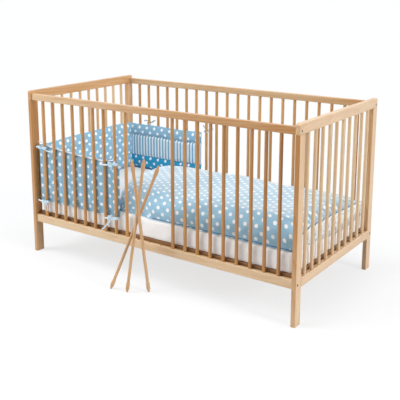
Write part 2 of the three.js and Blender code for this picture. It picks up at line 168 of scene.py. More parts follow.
# %% Helpers for groups and materials
def new_group(name, inputs, outputs):
    tree = bpy.data.node_groups.new(name, "ShaderNodeTree")
    for label, kind, value in inputs:
        socket = tree.interface.new_socket(label, in_out="INPUT", socket_type="NodeSocket" + kind)
        socket.default_value = value
    for label, kind in outputs:
        tree.interface.new_socket(label, in_out="OUTPUT", socket_type="NodeSocket" + kind)
    return tree, tree.nodes.new("NodeGroupInput").outputs, tree.nodes.new("NodeGroupOutput").inputs


def use_group(tree, group, inputs=()):
    return wire(tree, "Group", inputs, node_tree=group).outputs


def new_material(name, **shader):
    """A material, its tree and its Principled shader with plain numbers set."""
    material = bpy.data.materials.new(name)
    material.use_nodes = True
    principled = material.node_tree.nodes["Principled BSDF"]
    for label, value in shader.items():
        principled.inputs[label.replace("_", " ")].default_value = value
    return material, material.node_tree, principled


def bump(tree, shader, height, strength, distance):
    relief = wire(tree, "Bump", {"Height": height, "Strength": strength, "Distance": distance})
    tree.links.new(relief.outputs["Normal"], shader.inputs["Normal"])


def bare_tree(owner):
    """Gives a material or the world an empty node tree."""
    owner.use_nodes = True
    owner.node_tree.nodes.clear()
    return owner.node_tree


print("group and material helpers are ready")

# %% [markdown]
# The floor is a wide pale plane. A white background could come from more light, but that would
# bleach the crib too. Instead the floor is white to the camera by itself, and only part of its
# colour comes from the lamps, so the crib's soft shadow stays on it. To all other rays it is
# plain pale paper, which throws a little light up at the crib.

# %% Make the floor and the world
floor_reach = 120
lit_part, glow_part, plain_paper = (0.236, 0.24, 0.246, 1), 0.72, (0.68, 0.68, 0.68, 1)
sky_at_horizon, sky_overhead, sky_color = 0.06, 0.70, (0.97, 0.98, 1, 1)
white = (1, 1, 1, 1)


def mix_seen(tree, output, unseen, seen):
    """Sends one shader to the camera and its mirror images, and another to all other rays."""
    path = wire(tree, "LightPath").outputs
    either = calc(tree, "MAXIMUM", path["Is Camera Ray"], path["Is Glossy Ray"])
    directly = calc(tree, "MAXIMUM", either, path["Is Transmission Ray"])
    mixed = wire(tree, "MixShader", {0: directly, 1: unseen, 2: seen})
    wire(tree, output, {"Surface": mixed.outputs[0]})


floor_mesh = bpy.data.meshes.new("floor")
corners = [(x * floor_reach, y * floor_reach, 0) for x, y in ((-1, -1), (1, -1), (1, 1), (-1, 1))]
floor_mesh.from_pydata(corners, [], [(0, 1, 2, 3)])
add_object("floor", floor_mesh)
paper = bpy.data.materials.new("pale paper")
tree = bare_tree(paper)
shadowed = wire(tree, "BsdfDiffuse", {"Color": lit_part}).outputs[0]
glow = wire(tree, "Emission", {"Color": white, "Strength": glow_part}).outputs[0]
to_camera = wire(tree, "AddShader", {0: shadowed, 1: glow}).outputs[0]
to_the_rest = wire(tree, "BsdfDiffuse", {"Color": plain_paper}).outputs[0]
mix_seen(tree, "OutputMaterial", to_the_rest, to_camera)
floor_mesh.materials.append(paper)

world = bpy.data.worlds.new("studio")
bpy.context.scene.world = world
tree = bare_tree(world)
up = wire(tree, "SeparateXYZ", {0: wire(tree, "TexCoord").outputs["Generated"]}).outputs["Z"]
level = weigh(tree, sky_at_horizon, (ease(tree, up, 0.0, 1.0), sky_overhead - sky_at_horizon))
sky = wire(tree, "Background", {"Color": sky_color, "Strength": level}).outputs[0]
backdrop = wire(tree, "Background", {"Color": white, "Strength": 1}).outputs[0]
mix_seen(tree, "OutputWorld", sky, backdrop)
bpy.context.scene.view_settings.view_transform = "Standard"
print("the floor is pale, and the sky's light goes from", sky_at_horizon, "to", sky_overhead)

# %% [markdown]
# The real crib would stand in a studio, with large soft lamps round it. Area lamps close by light
# the near end more than the far one, so four of the six here are sun lamps with a wide angle,
# which are soft and even. Two stand low at the foot end and the far right, and brighten the end
# frame. Two stand high at the front left, and lay the slats' soft shadows on the bumper and the
# crib's on the floor. Of the softboxes, one fills the front from the left, and a small one hangs
# over the bed, so that the bedding and the back's inner side aren't dull.

# %% Light the crib
def add_lamp(name, kind, power, away):
    """away is the way from what the lamp lights to the lamp."""
    lamp = add_object(name, bpy.data.lights.new(name, kind))
    lamp.data.energy = power
    lamp.rotation_euler = away.to_track_quat("Z", "Y").to_euler()
    return lamp


def add_sun(name, azimuth, height, strength, softness):
    """azimuth is counted as the camera's is: 0 shines along +Y, and 90 along -X."""
    a, e = math.radians(azimuth), math.radians(height)
    away = Vector((math.sin(a) * math.cos(e), -math.cos(a) * math.cos(e), math.sin(e)))
    add_lamp(name, "SUN", strength, away).data.angle = math.radians(softness)


def add_softbox(name, place, aim, power, width, color):
    box = add_lamp(name, "AREA", power, Vector(place) - Vector(aim))
    box.location, box.data.size, box.data.color = place, width, color
    box.visible_glossy = False         # or the lacquer would mirror it as a white patch


add_sun("foot end lamp", 88, 24, 1.66, 16)
add_sun("far right lamp", 145, 18, 0.85, 30)
add_sun("front left lamp", -48, 40, 0.75, 30)
add_sun("ceiling lamp", -50, 64, 0.75, 26)
add_softbox("low softbox", (-3.0, middle_y - 2.3, 0.9), (-0.3, middle_y, 0.4), 54, 2.0,
            (0.96, 0.98, 1))
add_softbox("overhead softbox", (0.35, middle_y - 0.30, 1.8), (-0.1, middle_y + 0.25, 0.35), 5,
            0.9, (1, 1, 1))
print("four lamps and two softboxes")

# %% [markdown]
# ## Beech
# Beech is pale and even. Close up it has soft growth rings, fine fibres along the plank and
# small dark flecks. A picture of wood could be wrapped round each part, but it would run across
# corners and stretch on turned bars. Here the wood is worked out in space: each piece carries
# its own grain coordinates, with the first one along the plank, and the rings are circles round
# a pith that lies outside it. So long faces show lines, end faces show arcs, and no two pieces
# are alike.

# %% The grain of beech, as a node group
def beech_grain():
    tree, given, out = new_group(
        "beech grain",
        [("Pale", "Color", (0.72, 0.48, 0.27, 1)), ("Dark", "Color", (0.55, 0.31, 0.14, 1)),
         ("Ring Pitch", "Float", 0.0042), ("Fleck Depth", "Float", 0.45)],
        [("Color", "Color"), ("Roughness", "Float"), ("Height", "Float")])
    grain = wire(tree, "Attribute", attribute_name="grain").outputs["Vector"]
    # The tone is a plank's own depth of colour, and where it was set in the table also painted
    # light and shade.
    tone_and_painted_light = wire(tree, "Attribute", attribute_name="tone_and_painted_light").outputs["Fac"]

    def stretched(*scales):
        return vector(tree, "MULTIPLY", grain, scales)

    sway = noise(tree, stretched(1.6, 14, 14), 2, result="Color")
    sway = vector(tree, "SCALE", vector(tree, "SUBTRACT", sway, (0.5, 0.5, 0.5)), Scale=0.014)
    from_pith = vector(tree, "LENGTH", vector(tree, "ADD", stretched(0.02, 1, 1), sway))
    turns = calc(tree, "DIVIDE", from_pith, given["Ring Pitch"])
    ring = calc(tree, "POWER", calc(tree, "FRACT", turns), 3.0)
    fibre = noise(tree, stretched(16, 620, 620), 3)
    broad = noise(tree, stretched(3, 45, 45), 1)
    fleck = ease(tree, noise(tree, stretched(210, 1500, 800), 1), 0.66, 0.73)

    shade = weigh(tree, calc(tree, "MULTIPLY", ring, 0.24), (fibre, 0.42), (broad, 0.5),
                  (tone_and_painted_light, 0.34))
    color = blend(tree, calc(tree, "SUBTRACT", shade, 0.38), given["Pale"], given["Dark"])
    fleck_share = calc(tree, "MULTIPLY", fleck, given["Fleck Depth"])
    color = blend(tree, fleck_share, color, (0.28, 0.13, 0.05, 1))
    tree.links.new(color, out["Color"])
    tree.links.new(weigh(tree, 0.36, (fibre, 0.16)), out["Roughness"])
    height = calc(tree, "SUBTRACT", fibre, calc(tree, "MULTIPLY", fleck, 0.7))
    tree.links.new(height, out["Height"])
    return tree


grain_group = beech_grain()
print("the grain group has", len(grain_group.nodes), "nodes")

# %% [markdown]
# The crib's wood comes in three finishes: satin lacquer on the frame, turned slats and tips that
# are a little darker, and plain planed wood in the base, which is painted much darker than beech
# to stand for the shade it lies in. They share the grain group. The lacquer is a thin clear coat,
# and the planed wood has none.

# %% Three finishes of beech
def beech(name, pale, dark, coat, relief):
    material, tree, shader = new_material(name, Coat_Weight=coat, Coat_Roughness=0.33)
    wood = use_group(tree, grain_group, {"Pale": (*pale, 1), "Dark": (*dark, 1)})
    tree.links.new(wood["Color"], shader.inputs["Base Color"])
    tree.links.new(wood["Roughness"], shader.inputs["Roughness"])
    bump(tree, shader, wood["Height"], relief, 0.0003)
    return material


lacquered_beech = beech("lacquered beech", (0.68, 0.48, 0.28), (0.42, 0.17, 0.02), 0.9, 0.25)
turned_beech = beech("turned beech", (0.68, 0.36, 0.12), (0.36, 0.145, 0.02), 0.6, 0.25)
# Painted shade: the base's beech is painted dark, for the shade between the mattress and the rails.
planed_beech_painted_dark = beech("planed beech with painted shade", (0.29, 0.145, 0.052), (0.18, 0.072, 0.02), 0.0, 0.5)
print("beech in three finishes")

# %% [markdown]
# In a real crib each plank comes from another place in a tree, so each has its own grain and its
# own depth of colour. Both are stored on the points of its mesh, where the grain group reads
# them. They are drawn at random, apart from the tones of the planks that show most. Those tones
# also carry painted light and shade: a plank is painted paler where the lamps light it and darker
# where it lies in shade, along its length and from one plank to the next.

# %% Grain and tone
seed = random.Random(11)
log_length, pith_beside, pith_off = 9, (0.03, 0.07), (-0.02, 0.02)      # in metres
# Painted light and shade: each pair sets how much paler or darker a plank is painted at its ends,
# as the lamps light it.
plank_tones_and_painted_light = {                        # at a plank's low end and its high end; more is darker
    "front_side_top_rail": (0.4, 2.4), "front_side_bottom_rail": (-0.4, 0.1),
    "back_side_top_rail": (0.3, 1.3), "back_side_bottom_rail": (0.6, 1.0),
    "front_left_post": (1.5, 2.8), "front_right_post": (1.0, 3.4),
    "back_left_post": (1.2, 1.6), "back_right_post": (1.0, 1.5),
    "left_top_rail": (1.7, 1.6), "left_bottom_rail": (1.0, 1.3),
    "right_top_rail": (0.4, 0.6), "right_bottom_rail": (0.5, 0.4),
    "bar_a": (1.1, 1.5), "bar_b": (1.0, 1.3), "bar_c": (0.9, 1.6),
    "sprung_tip_a": (0.8, 0.8), "sprung_tip_b": (0.7, 0.7), "sprung_tip_c": (0.9, 0.9)}
# Painted light: the posts' faces at the crib's ends are painted paler, for the glare of the lamps
# on them.
outer_face_painted_light = 0.5                  # the posts' faces at the crib's ends are paler


def lay_grain(mesh, along, tones):
    """Stores grain coordinates: metres along the plank, and round a pith beside it."""
    along = Vector(along).normalized()
    side = along.orthogonal().normalized()
    side = Matrix.Rotation(seed.uniform(0, math.tau), 3, along) @ side
    other = along.cross(side)
    points = np.array([v.co for v in mesh.vertices])
    from_middle = points - points.mean(0)
    places = np.c_[points @ np.array(along), from_middle @ np.array(side),
                   from_middle @ np.array(other)]
    places += (seed.uniform(0, log_length), seed.uniform(*pith_beside), seed.uniform(*pith_off))
    grain = mesh.attributes.new("grain", "FLOAT_VECTOR", "POINT")
    grain.data.foreach_set("vector", places.astype(np.float32).ravel())
    start, end = tones or [seed.random()] * 2
    share = (places[:, 0] - places[:, 0].min()) / np.ptp(places[:, 0])
    values = start + (end - start) * share
    is_post = along.z > 0.9 and np.ptp(points[:, 1]) > slat_diameter * 1.5
    # Painted light: a post's faces at the crib's end get the paler tone.
    if tones and is_post:
        values[np.abs(points[:, 0]) > half_length - 0.0005] = outer_face_painted_light
    tone_and_painted_light = mesh.attributes.new("tone_and_painted_light", "FLOAT", "POINT")
    tone_and_painted_light.data.foreach_set("value", values.astype(np.float32))


print(len(plank_tones_and_painted_light), "pieces have a tone of their own")

# %% [markdown]
# Every wooden piece goes the same way from its mesh to its place: it gets its grain, its
# material and the body that it rides on, and it is told which solid of the frame it stands for.
# Rounded planks need care with shading. Smooth shading alone makes flat faces look swollen near
# a rounded edge, so a weighted normal modifier lets the large faces decide.

# %% Put a piece in its place
made = []
axes = {"x": (1, 0, 0), "y": (0, 1, 0), "z": (0, 0, 1)}
frame_wood = "frame", "beech", lacquered_beech        # a body, a material slot and a finish
slat_wood = "frame", "beech", turned_beech
base_wood = "bed", "base_wood", planed_beech_painted_dark


def place(name, mesh, body, slot, material, *stands_for):
    mesh.name = name
    piece = add_object(name, mesh)
    mesh.materials.append(material)
    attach(piece, body)
    if stands_for:
        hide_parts(*stands_for)
    made.append(piece)
    return piece


def crisp(mesh, angle):
    """Smooth shading, with a sharp edge where two faces turn by more than the angle."""
    mesh.shade_smooth()
    mesh.set_sharp_from_angle(angle=math.radians(angle))
    return mesh


def place_wood(name, mesh, along, wood, *stands_for, tones=None):
    lay_grain(mesh, along, tones or plank_tones_and_painted_light.get(name))
    piece = place(name, crisp(mesh, 38), *wood, *stands_for)
    piece.modifiers.new("flat faces", "WEIGHTED_NORMAL").keep_sharp = True


print("pieces can be placed")

# %% [markdown]
# ## Planks
# Rails, posts and slats of the base are planed planks. A plank starts as a box between two
# corners. Its long edges are rounded by bevelling them first, and its ends get only a hair of a
# chamfer, because there they meet another piece and a wide chamfer would open the joint.

# %% Shape a plank
plank_edge, plank_end, thick_edge = 0.0025, 0.0005, 0.0028      # how far each is rounded


def mesh_from(bm):
    mesh = bpy.data.meshes.new("shape")
    bmesh.ops.recalc_face_normals(bm, faces=bm.faces)
    bm.to_mesh(mesh)
    bm.free()
    return mesh


def round_edges(bm, edges, radius, steps=4):
    bmesh.ops.bevel(bm, geom=list(edges), offset=radius, segments=steps, profile=0.5,
                    affect="EDGES", clamp_overlap=True)


def box_between(low, high):
    bm = bmesh.new()
    bmesh.ops.create_cube(bm, size=1)
    bmesh.ops.scale(bm, vec=high - low, verts=bm.verts)
    bmesh.ops.translate(bm, vec=(low + high) / 2, verts=bm.verts)
    return bm


def plank(low, high, along, edge=plank_edge, end=plank_end):
    low, high = Vector(low), Vector(high)
    bm = box_between(low, high)
    axis = "xyz".index(along)
    long_edges = [e for e in bm.edges if abs(e.verts[0].co[axis] - e.verts[1].co[axis]) > 1e-6]
    round_edges(bm, long_edges, edge)
    for stop in (low[axis], high[axis]):
        ends = [e for e in bm.edges if all(abs(v.co[axis] - stop) < 1e-6 for v in e.verts)]
        round_edges(bm, ends, end, 2)
    return mesh_from(bm)


print("planks have", len(plank((0, 0, 0), (1, 1, 1), "x").polygons), "faces each")

# %% [markdown]
# Posts and rails are bored: for the height pins, the bolts and the slip-out bars. A hole is cut
# by a boolean with a plain cylinder after the edges are rounded, so its rim stays crisp.

# %% Bore holes
def rod(start, end, diameter, sides=24):
    start, end = Vector(start), Vector(end)
    bm = bmesh.new()
    turn = (end - start).to_track_quat("Z", "Y").to_matrix().to_4x4()
    bmesh.ops.create_cone(bm, segments=sides, radius1=diameter / 2, radius2=diameter / 2,
                          depth=(end - start).length, cap_ends=True,
                          matrix=Matrix.Translation((start + end) / 2) @ turn)
    return mesh_from(bm)


def cut_away(mesh, tools):
    """The mesh with each tool's mesh cut out of it."""
    plain = add_object("uncut", mesh)
    cutters = [add_object("cutter", tool) for tool in tools]
    for cutter in cutters:
        boolean = plain.modifiers.new("cut", "BOOLEAN")
        boolean.operation, boolean.solver, boolean.object = "DIFFERENCE", "EXACT", cutter
    depsgraph = bpy.context.evaluated_depsgraph_get()
    result = bpy.data.meshes.new_from_object(plain.evaluated_get(depsgraph))
    for helper in (plain, *cutters):
        bpy.data.objects.remove(helper)
    return result


print("holes can be bored")

# %% [markdown]
# ## The end frames
# Each end frame is two posts, a top rail with rounded corners and a bottom rail, and ten round
# slats between the rails. The top rail lies on the posts, so its joint with them shows as a fine
# line, and each piece keeps its own grain direction, as in real joinery.

# %% Posts, with their pin, spare and bolt holes
ends = {"left": -1, "right": 1}
sides = {"front": -1, "back": 1}
joint_gap = 0.0003
past = 0.01                            # how far a cutter starts outside the wood
pin_low, pin_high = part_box("height_pin_front_left")
pin_diameter = pin_high.z - pin_low.z
pin_from_middle = middle_y - (pin_low.y + pin_high.y) / 2
pin_z = (pin_low.z + pin_high.z) / 2
pin_hole_depth, base_step, pin_places = 0.0133, 0.1, 3
spare_hole_rise, spare_hole_depth, spare_hole = 0.038, 0.012, 0.006
bolt_boxes = [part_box(f"bolt_{level}_front_right") for level in ("lower", "upper")]
bolt_low, bolt_high = bolt_boxes[0]
bolt_heights = [(low.z + high.z) / 2 for low, high in bolt_boxes]
bolt_head, bolt_sink = bolt_high.z - bolt_low.z, 0.0043
end_rail_low, end_rail_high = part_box("end_top_rail_right")


def reach(sign, near, far, middle=0.0):
    """Two places on one side of a middle, the lower one first."""
    return sorted((middle + sign * near, middle + sign * far))


def bore(sign_x, sign_y, start, end, from_middle, z, diameter):
    """A cutter along the crib, between two distances from the crib's middle."""
    y = middle_y + sign_y * from_middle
    return rod((sign_x * start, y, z), (sign_x * end, y, z), diameter)


def bolt_bore(sign_x, sign_y, height):
    return bore(sign_x, sign_y, half_length - bolt_sink, half_length + past, slat_y, height,
                bolt_head + 2 * joint_gap)


def post(sign_x, sign_y):
    x = reach(sign_x, inside_x, half_length)
    y = reach(sign_y, half_depth - post_width, half_depth, middle_y)
    shaft = plank((x[0], y[0], 0), (x[1], y[1], end_rail_low.z - joint_gap), "z", thick_edge)
    holes = [bolt_bore(sign_x, sign_y, bolt_heights[0])]
    holes += [bore(sign_x, sign_y, inside_x - past, inside_x + pin_hole_depth, pin_from_middle,
                   pin_z + step * base_step, pin_diameter + 2 * joint_gap)
              for step in range(pin_places)]
    holes += [bore(sign_x, sign_y, inside_x - past, inside_x + spare_hole_depth, slat_y,
                   bottom_rail_high.z + spare_hole_rise, spare_hole)]
    return cut_away(shaft, holes)


for end, sign_x in ends.items():
    for side, sign_y in sides.items():
        place_wood(f"{side}_{end}_post", post(sign_x, sign_y), axes["z"], frame_wood,
                   f"post_{side}_{end}")
print("four posts stand", round(end_rail_low.z, 3), "m high")

# %% [markdown]
# The end's top rail is a plank seen from its end, so it is drawn as an outline with two rounded
# corners and pushed out sideways. The bevel then runs round the whole outline in one go.

# %% End top rails, bottom rails and slats
corner_radius, corner_steps = 0.010, 8
end_slat_count = 10
slat_seat = bottom_rail_high.z - slat_low.z
end_middle_x = half_length - post_thickness / 2
post_inner_y = half_depth - post_width
# Painted light: the foot end's slats get pale tones, where the foot end lamp lights them; the head
# end's tones differ at random.
end_slat_tones_and_painted_light = {"left": (0.2, 0.8), "right": (-0.4, 0.1)}      # the foot end's are the palest


def end_top_rail(sign_x):
    x = reach(sign_x, inside_x, half_length)
    bottom, top = end_rail_low.z, end_rail_high.z
    outline = [(middle_y + half_depth, bottom)]
    for start, centre_y in ((0, half_depth - corner_radius), (90, corner_radius - half_depth)):
        for step in range(corner_steps + 1):
            angle = math.radians(start + 90 * step / corner_steps)
            outline.append((middle_y + centre_y + corner_radius * math.cos(angle),
                            top - corner_radius + corner_radius * math.sin(angle)))
    outline.append((middle_y - half_depth, bottom))
    bm = bmesh.new()
    face = bm.faces.new([bm.verts.new((x[0], y, z)) for y, z in outline])
    pushed = bmesh.ops.extrude_face_region(bm, geom=[face])["geom"]
    bmesh.ops.translate(bm, vec=(x[1] - x[0], 0, 0),
                        verts=[g for g in pushed if isinstance(g, bmesh.types.BMVert)])
    rims = [e for e in bm.edges if abs(e.verts[0].co.x - e.verts[1].co.x) < 1e-6]
    round_edges(bm, rims, plank_edge)
    return cut_away(mesh_from(bm), [bolt_bore(sign_x, sign_y, bolt_heights[1])
                                    for sign_y in sides.values()])


def dowel(x, y, bottom, top):
    return rod((x, y, bottom), (x, y, top), slat_diameter, 28)


for end, sign_x in ends.items():
    place_wood(f"{end}_top_rail", end_top_rail(sign_x), axes["y"], frame_wood,
               f"end_top_rail_{end}")
    x = reach(sign_x, inside_x, half_length)
    low = (x[0], middle_y - post_inner_y + joint_gap, bottom_rail_low.z)
    high = (x[1], middle_y + post_inner_y - joint_gap, bottom_rail_high.z)
    place_wood(f"{end}_bottom_rail", plank(low, high, "y"), axes["y"], frame_wood,
               f"end_slat_panel_{end}")
    for k in range(end_slat_count):
        y = middle_y + (k - (end_slat_count - 1) / 2) * slat_pitch
        slat = dowel(sign_x * end_middle_x, y, bottom_rail_high.z - slat_seat,
                     end_rail_low.z + slat_seat)
        place_wood(f"{end}_slat_{k + 1:02d}", slat, axes["z"], frame_wood,
                   tones=[seed.uniform(*end_slat_tones_and_painted_light[end])] * 2)
print("two end frames with", end_slat_count, "slats each")

# %% [markdown]
# ## The long sides
# The back has 21 fixed slats. The front has 18, and a gap in the middle for the three slip-out
# bars. Its rails keep their sockets there, which are real holes.

# %% Side rails
side_rail_faces = middle_y - bottom_rail_high.y, middle_y - bottom_rail_low.y
socket_diameter = 0.012
socket_depths = {"top": 0.020, "bottom": 0.014}
gap_places = [k * slat_pitch for k in (-1, 0, 1)]
rail_boxes = {"top": (top_rail_low, top_rail_high), "bottom": (bottom_rail_low, bottom_rail_high)}


def side_rail(side, level):
    low, high = rail_boxes[level]
    y = reach(sides[side], *side_rail_faces, middle_y)
    rail = plank((low.x, y[0], low.z), (high.x, y[1], high.z), "x", thick_edge)
    if side == "back":
        return rail
    start, way = (low.z, 1) if level == "top" else (high.z, -1)
    y = middle_y - slat_y
    return cut_away(rail, [rod((x, y, start - way * past),
                               (x, y, start + way * socket_depths[level]), socket_diameter)
                           for x in gap_places])


stands_for = {("front", "top"): "front_top_rail", ("front", "bottom"): "front_bottom_rail",
              ("back", "top"): "back_top_rail", ("back", "bottom"): "back_slat_panel"}
for (side, level), node in stands_for.items():
    place_wood(f"{side}_side_{level}_rail", side_rail(side, level), axes["x"], frame_wood, node)
print("side rails are", round(top_rail_high.x - top_rail_low.x, 3), "m long")

# %% [markdown]
# The slats are plain round rods that sit in both rails. They stand at whole steps from the
# crib's middle, so one loop can place both sides, and in front it leaves out the gap's three.

# %% Side slats
slats_each_way = round(abs(slat_low.x + slat_diameter / 2) / slat_pitch)
front_number = 0
# The slats' tones differ at random, and on top of that painted shade: the front slats are painted
# darker than the back ones, and darker towards the right end.
for k in range(-slats_each_way, slats_each_way + 1):
    back = dowel(k * slat_pitch, middle_y + slat_y, slat_low.z, slat_high.z)
    place_wood(f"back_slat_{k + slats_each_way + 1:02d}", back, axes["z"], slat_wood,
               tones=[seed.uniform(0.1, 0.9)] * 2)
    if abs(k) > 1:                     # the gap's three places stay free in front
        front_number += 1
        front = dowel(k * slat_pitch, middle_y - slat_y, slat_low.z, slat_high.z)
        place_wood(f"front_side_slat_{front_number:02d}", front, axes["z"], slat_wood,
                   f"front_slat_{front_number:02d}",
                   tones=[seed.uniform(1.1, 1.7) + 0.05 * k] * 2)
print(2 * slats_each_way + 1, "slats at the back and", front_number, "in front")

# %% [markdown]
# ## Slip-out bars
# Each of these bars is turned on a lathe: a pin at the foot, a collar with a shoulder, a slender
# shaft, and a second collar that holds a sprung tip. So each is drawn as a profile, a list of
# radius and height, and spun. The frame says where a bar stands and which way it leans: its
# joint's axis is the direction, and the lowest ring of its solid is its foot.

# %% Spin a profile
def spun(profile, foot, direction, around=32):
    """profile is a list of (radius, height). A radius of 0 closes an end."""
    bm = bmesh.new()
    turns = [math.tau * k / around for k in range(around)]
    rings = [[bm.verts.new((radius * math.cos(t), radius * math.sin(t), height))
              for t in (turns if radius else turns[:1])] for radius, height in profile]
    for lower, upper in zip(rings, rings[1:]):
        for k in range(around):
            corners = [lower[k % len(lower)], lower[(k + 1) % len(lower)],
                       upper[(k + 1) % len(upper)], upper[k % len(upper)]]
            bm.faces.new(list(dict.fromkeys(corners)))
    turn = Vector(direction).to_track_quat("Z", "Y").to_matrix().to_4x4()
    bmesh.ops.transform(bm, matrix=Matrix.Translation(foot) @ turn, verts=bm.verts)
    return mesh_from(bm)


def arc(radius, height, size, start, stop, steps=3):
    """Points on part of a circle in a profile: its middle, its size and two angles."""
    turns = [math.radians(start + (stop - start) * k / steps) for k in range(steps + 1)]
    return [(max(radius + size * math.cos(t), 0.0), height + size * math.sin(t)) for t in turns]


print("profiles can be spun")

# %% [markdown]
# A sprung tip sits in a bore and is pressed in while the bar is fitted between its rails. So the
# bar's profile goes down again inside that bore, deep enough for the tip's whole travel, and the
# tip is a piece of its own that can slide in it.

# %% The bars and their tips
collar, shaft, pin = 0.0085, 0.00675, 0.00525          # radii
pin_length, collar_length, taper = 0.012, 0.026, 0.009
pin_round, collar_round, neck = 0.002, 0.001, 0.0002
tip_reach, tip_hidden, tip_travel = 0.018, 0.016, 0.014
tip_shoulder, tip_nose, nose_round = 0.008, 0.0035, 0.003
bar_bore = tip_hidden + tip_travel + 0.001     # deep enough for a tip that is pressed right in


def axis_of(node, direction):
    """The foot of a turned solid and its length along the direction."""
    points = np.array([v.co for v in frame["nodes"][node].data.vertices])
    along = points @ np.array(direction)
    lowest = points[along < along.min() + 1e-5]
    return Vector(lowest.mean(0)), along.max() - along.min()


def bar_profile(length):
    shoulder, head = pin_length + collar_length, length - collar_length
    swell = [(shaft + (collar - shaft) * (1 - math.cos(math.pi * t / 6)) / 2, t / 6)
             for t in range(7)]
    points = [(0, 0), (pin - pin_round, 0), *arc(pin - pin_round, pin_round, pin_round, -60, 0)]
    points += [(pin, pin_length - neck), (pin + 2 * neck, pin_length)]
    points += arc(collar - collar_round, pin_length + collar_round, collar_round, -90, 0)
    points += [(collar, shoulder)]
    points += [(r, shoulder + taper * (1 - t)) for r, t in reversed(swell)][1:]
    points += [(r, head - taper * (1 - t)) for r, t in swell][:-1]
    points += [(collar, head)]
    points += arc(collar - collar_round, length - collar_round, collar_round, 0, 90)
    inside = pin + joint_gap
    return points + [(inside, length), (inside, length - bar_bore), (0, length - bar_bore)]


tip_profile = [(0, -tip_hidden), (pin, -tip_hidden), (pin, tip_shoulder)]
tip_profile += [(pin - neck, tip_shoulder + 0.0012)]
tip_profile += [(tip_nose + 0.0006, tip_reach - tip_nose * 0.8)]
tip_profile += arc(tip_nose - 0.8 * nose_round, tip_reach - nose_round, nose_round, 15, 90, 4)
tip_profile += [(0, tip_reach)]
leans = {j["child"]: Vector(j["axis"]).normalized() for j in frame["joints"]
         if j["name"].startswith("bar_")}
for letter in "abc":
    lean = leans[f"bar_{letter}"]
    foot, length = axis_of(f"slip_bar_{letter}", lean)
    place_wood(f"bar_{letter}", spun(bar_profile(length), foot, lean), lean,
               (f"bar_{letter}", "beech", lacquered_beech), f"slip_bar_{letter}")
    place_wood(f"sprung_tip_{letter}", spun(tip_profile, foot + lean * length, lean), lean,
               (f"tip_{letter}", "bar_tip", turned_beech), f"slip_bar_tip_{letter}")
print("three bars of", round(length + tip_reach, 3), "m stand crossed")

# %% [markdown]
# ## Steel
# Furniture bolts have a flat cylinder head with a six-sided socket for a key. Zinc plating is
# cool grey and slightly cloudy, and it dulls where a key has scraped it. A metal with uneven
# roughness and a faint change of colour says that, with no drawn scratches.

# %% Zinc plate
zinc, tree, shader = new_material("zinc-plated steel", Metallic=1.0)
spot = wire(tree, "TexCoord").outputs["Object"]
plate = blend(tree, noise(tree, spot, 3, 260), (0.13, 0.12, 0.11, 1), (0.24, 0.22, 0.21, 1))
tree.links.new(plate, shader.inputs["Base Color"])
tree.links.new(weigh(tree, 0.22, (noise(tree, spot, 2, 1500), 0.35)), shader.inputs["Roughness"])
print("zinc plate has", len(tree.nodes), "nodes")

# %% [markdown]
# Eight bolts hold the long sides to the end frames, and four plain pins carry the bed base. All
# are round, so they are spun as the bars are, and the socket for the key is cut out of a bolt's
# head with a six-sided rod.

# %% Bolts and height pins
bolt_grip = inside_x - bolt_low.x
bolt_top = bolt_grip + post_thickness - joint_gap
shank, key_width, key_depth, head_height = 0.003, 0.0058, 0.0024, 0.0037


def bolt(sign_x, sign_y, height):
    head, edge, under = bolt_head / 2, 0.0006, bolt_top - head_height
    points = [(0, 0), (shank - edge, 0), (shank, edge), (shank, under), (head, under)]
    points += arc(head - edge, bolt_top - edge, edge, 0, 90) + [(0, bolt_top)]
    foot = Vector((sign_x * (inside_x - bolt_grip), middle_y + sign_y * slat_y, height))
    way = Vector((sign_x, 0, 0))
    key = rod(foot + way * (bolt_top - key_depth), foot + way * (bolt_top + past), key_width, 6)
    return cut_away(spun(points, foot, way, 30), [key])


def height_pin(sign_x, sign_y):
    length, r, edge, nose = pin_high.x - pin_low.x, pin_diameter / 2, 0.0008, 0.0015
    points = [(0, 0), (r - edge, 0), *arc(r - edge, edge, edge, -60, 0)]
    points += [*arc(r - nose, length - nose, nose, 0, 90, 4), (0, length)]
    foot = Vector((-sign_x * pin_low.x, middle_y + sign_y * pin_from_middle, pin_z))
    return spun(points, foot, (-sign_x, 0, 0), 24)


for end, sign_x in ends.items():
    for side, sign_y in sides.items():
        pieces = {f"{level}_{side}_{end}_bolt": (bolt(sign_x, sign_y, height),
                                                 f"bolt_{level}_{side}_{end}")
                  for level, height in zip(("lower", "upper"), bolt_heights)}
        pieces[f"{side}_{end}_pin"] = height_pin(sign_x, sign_y), f"height_pin_{side}_{end}"
        for name, (mesh, node) in pieces.items():
            place(name, crisp(mesh, 35), "frame", "zinc_steel", zinc, node)
print("eight bolts and four pins")

# %% [markdown]
# ## The bed base
# The base is a frame of beech, planed and bare, with thirteen thin slats on a ledge and a batten
# under their middle. Little of it shows in a made bed, but the dark strip between mattress and rail
# does, and so does all of it from below. Its dark colour is partly painted shade for that strip.
# The ledge is cut out of the side with the same boolean as the holes.

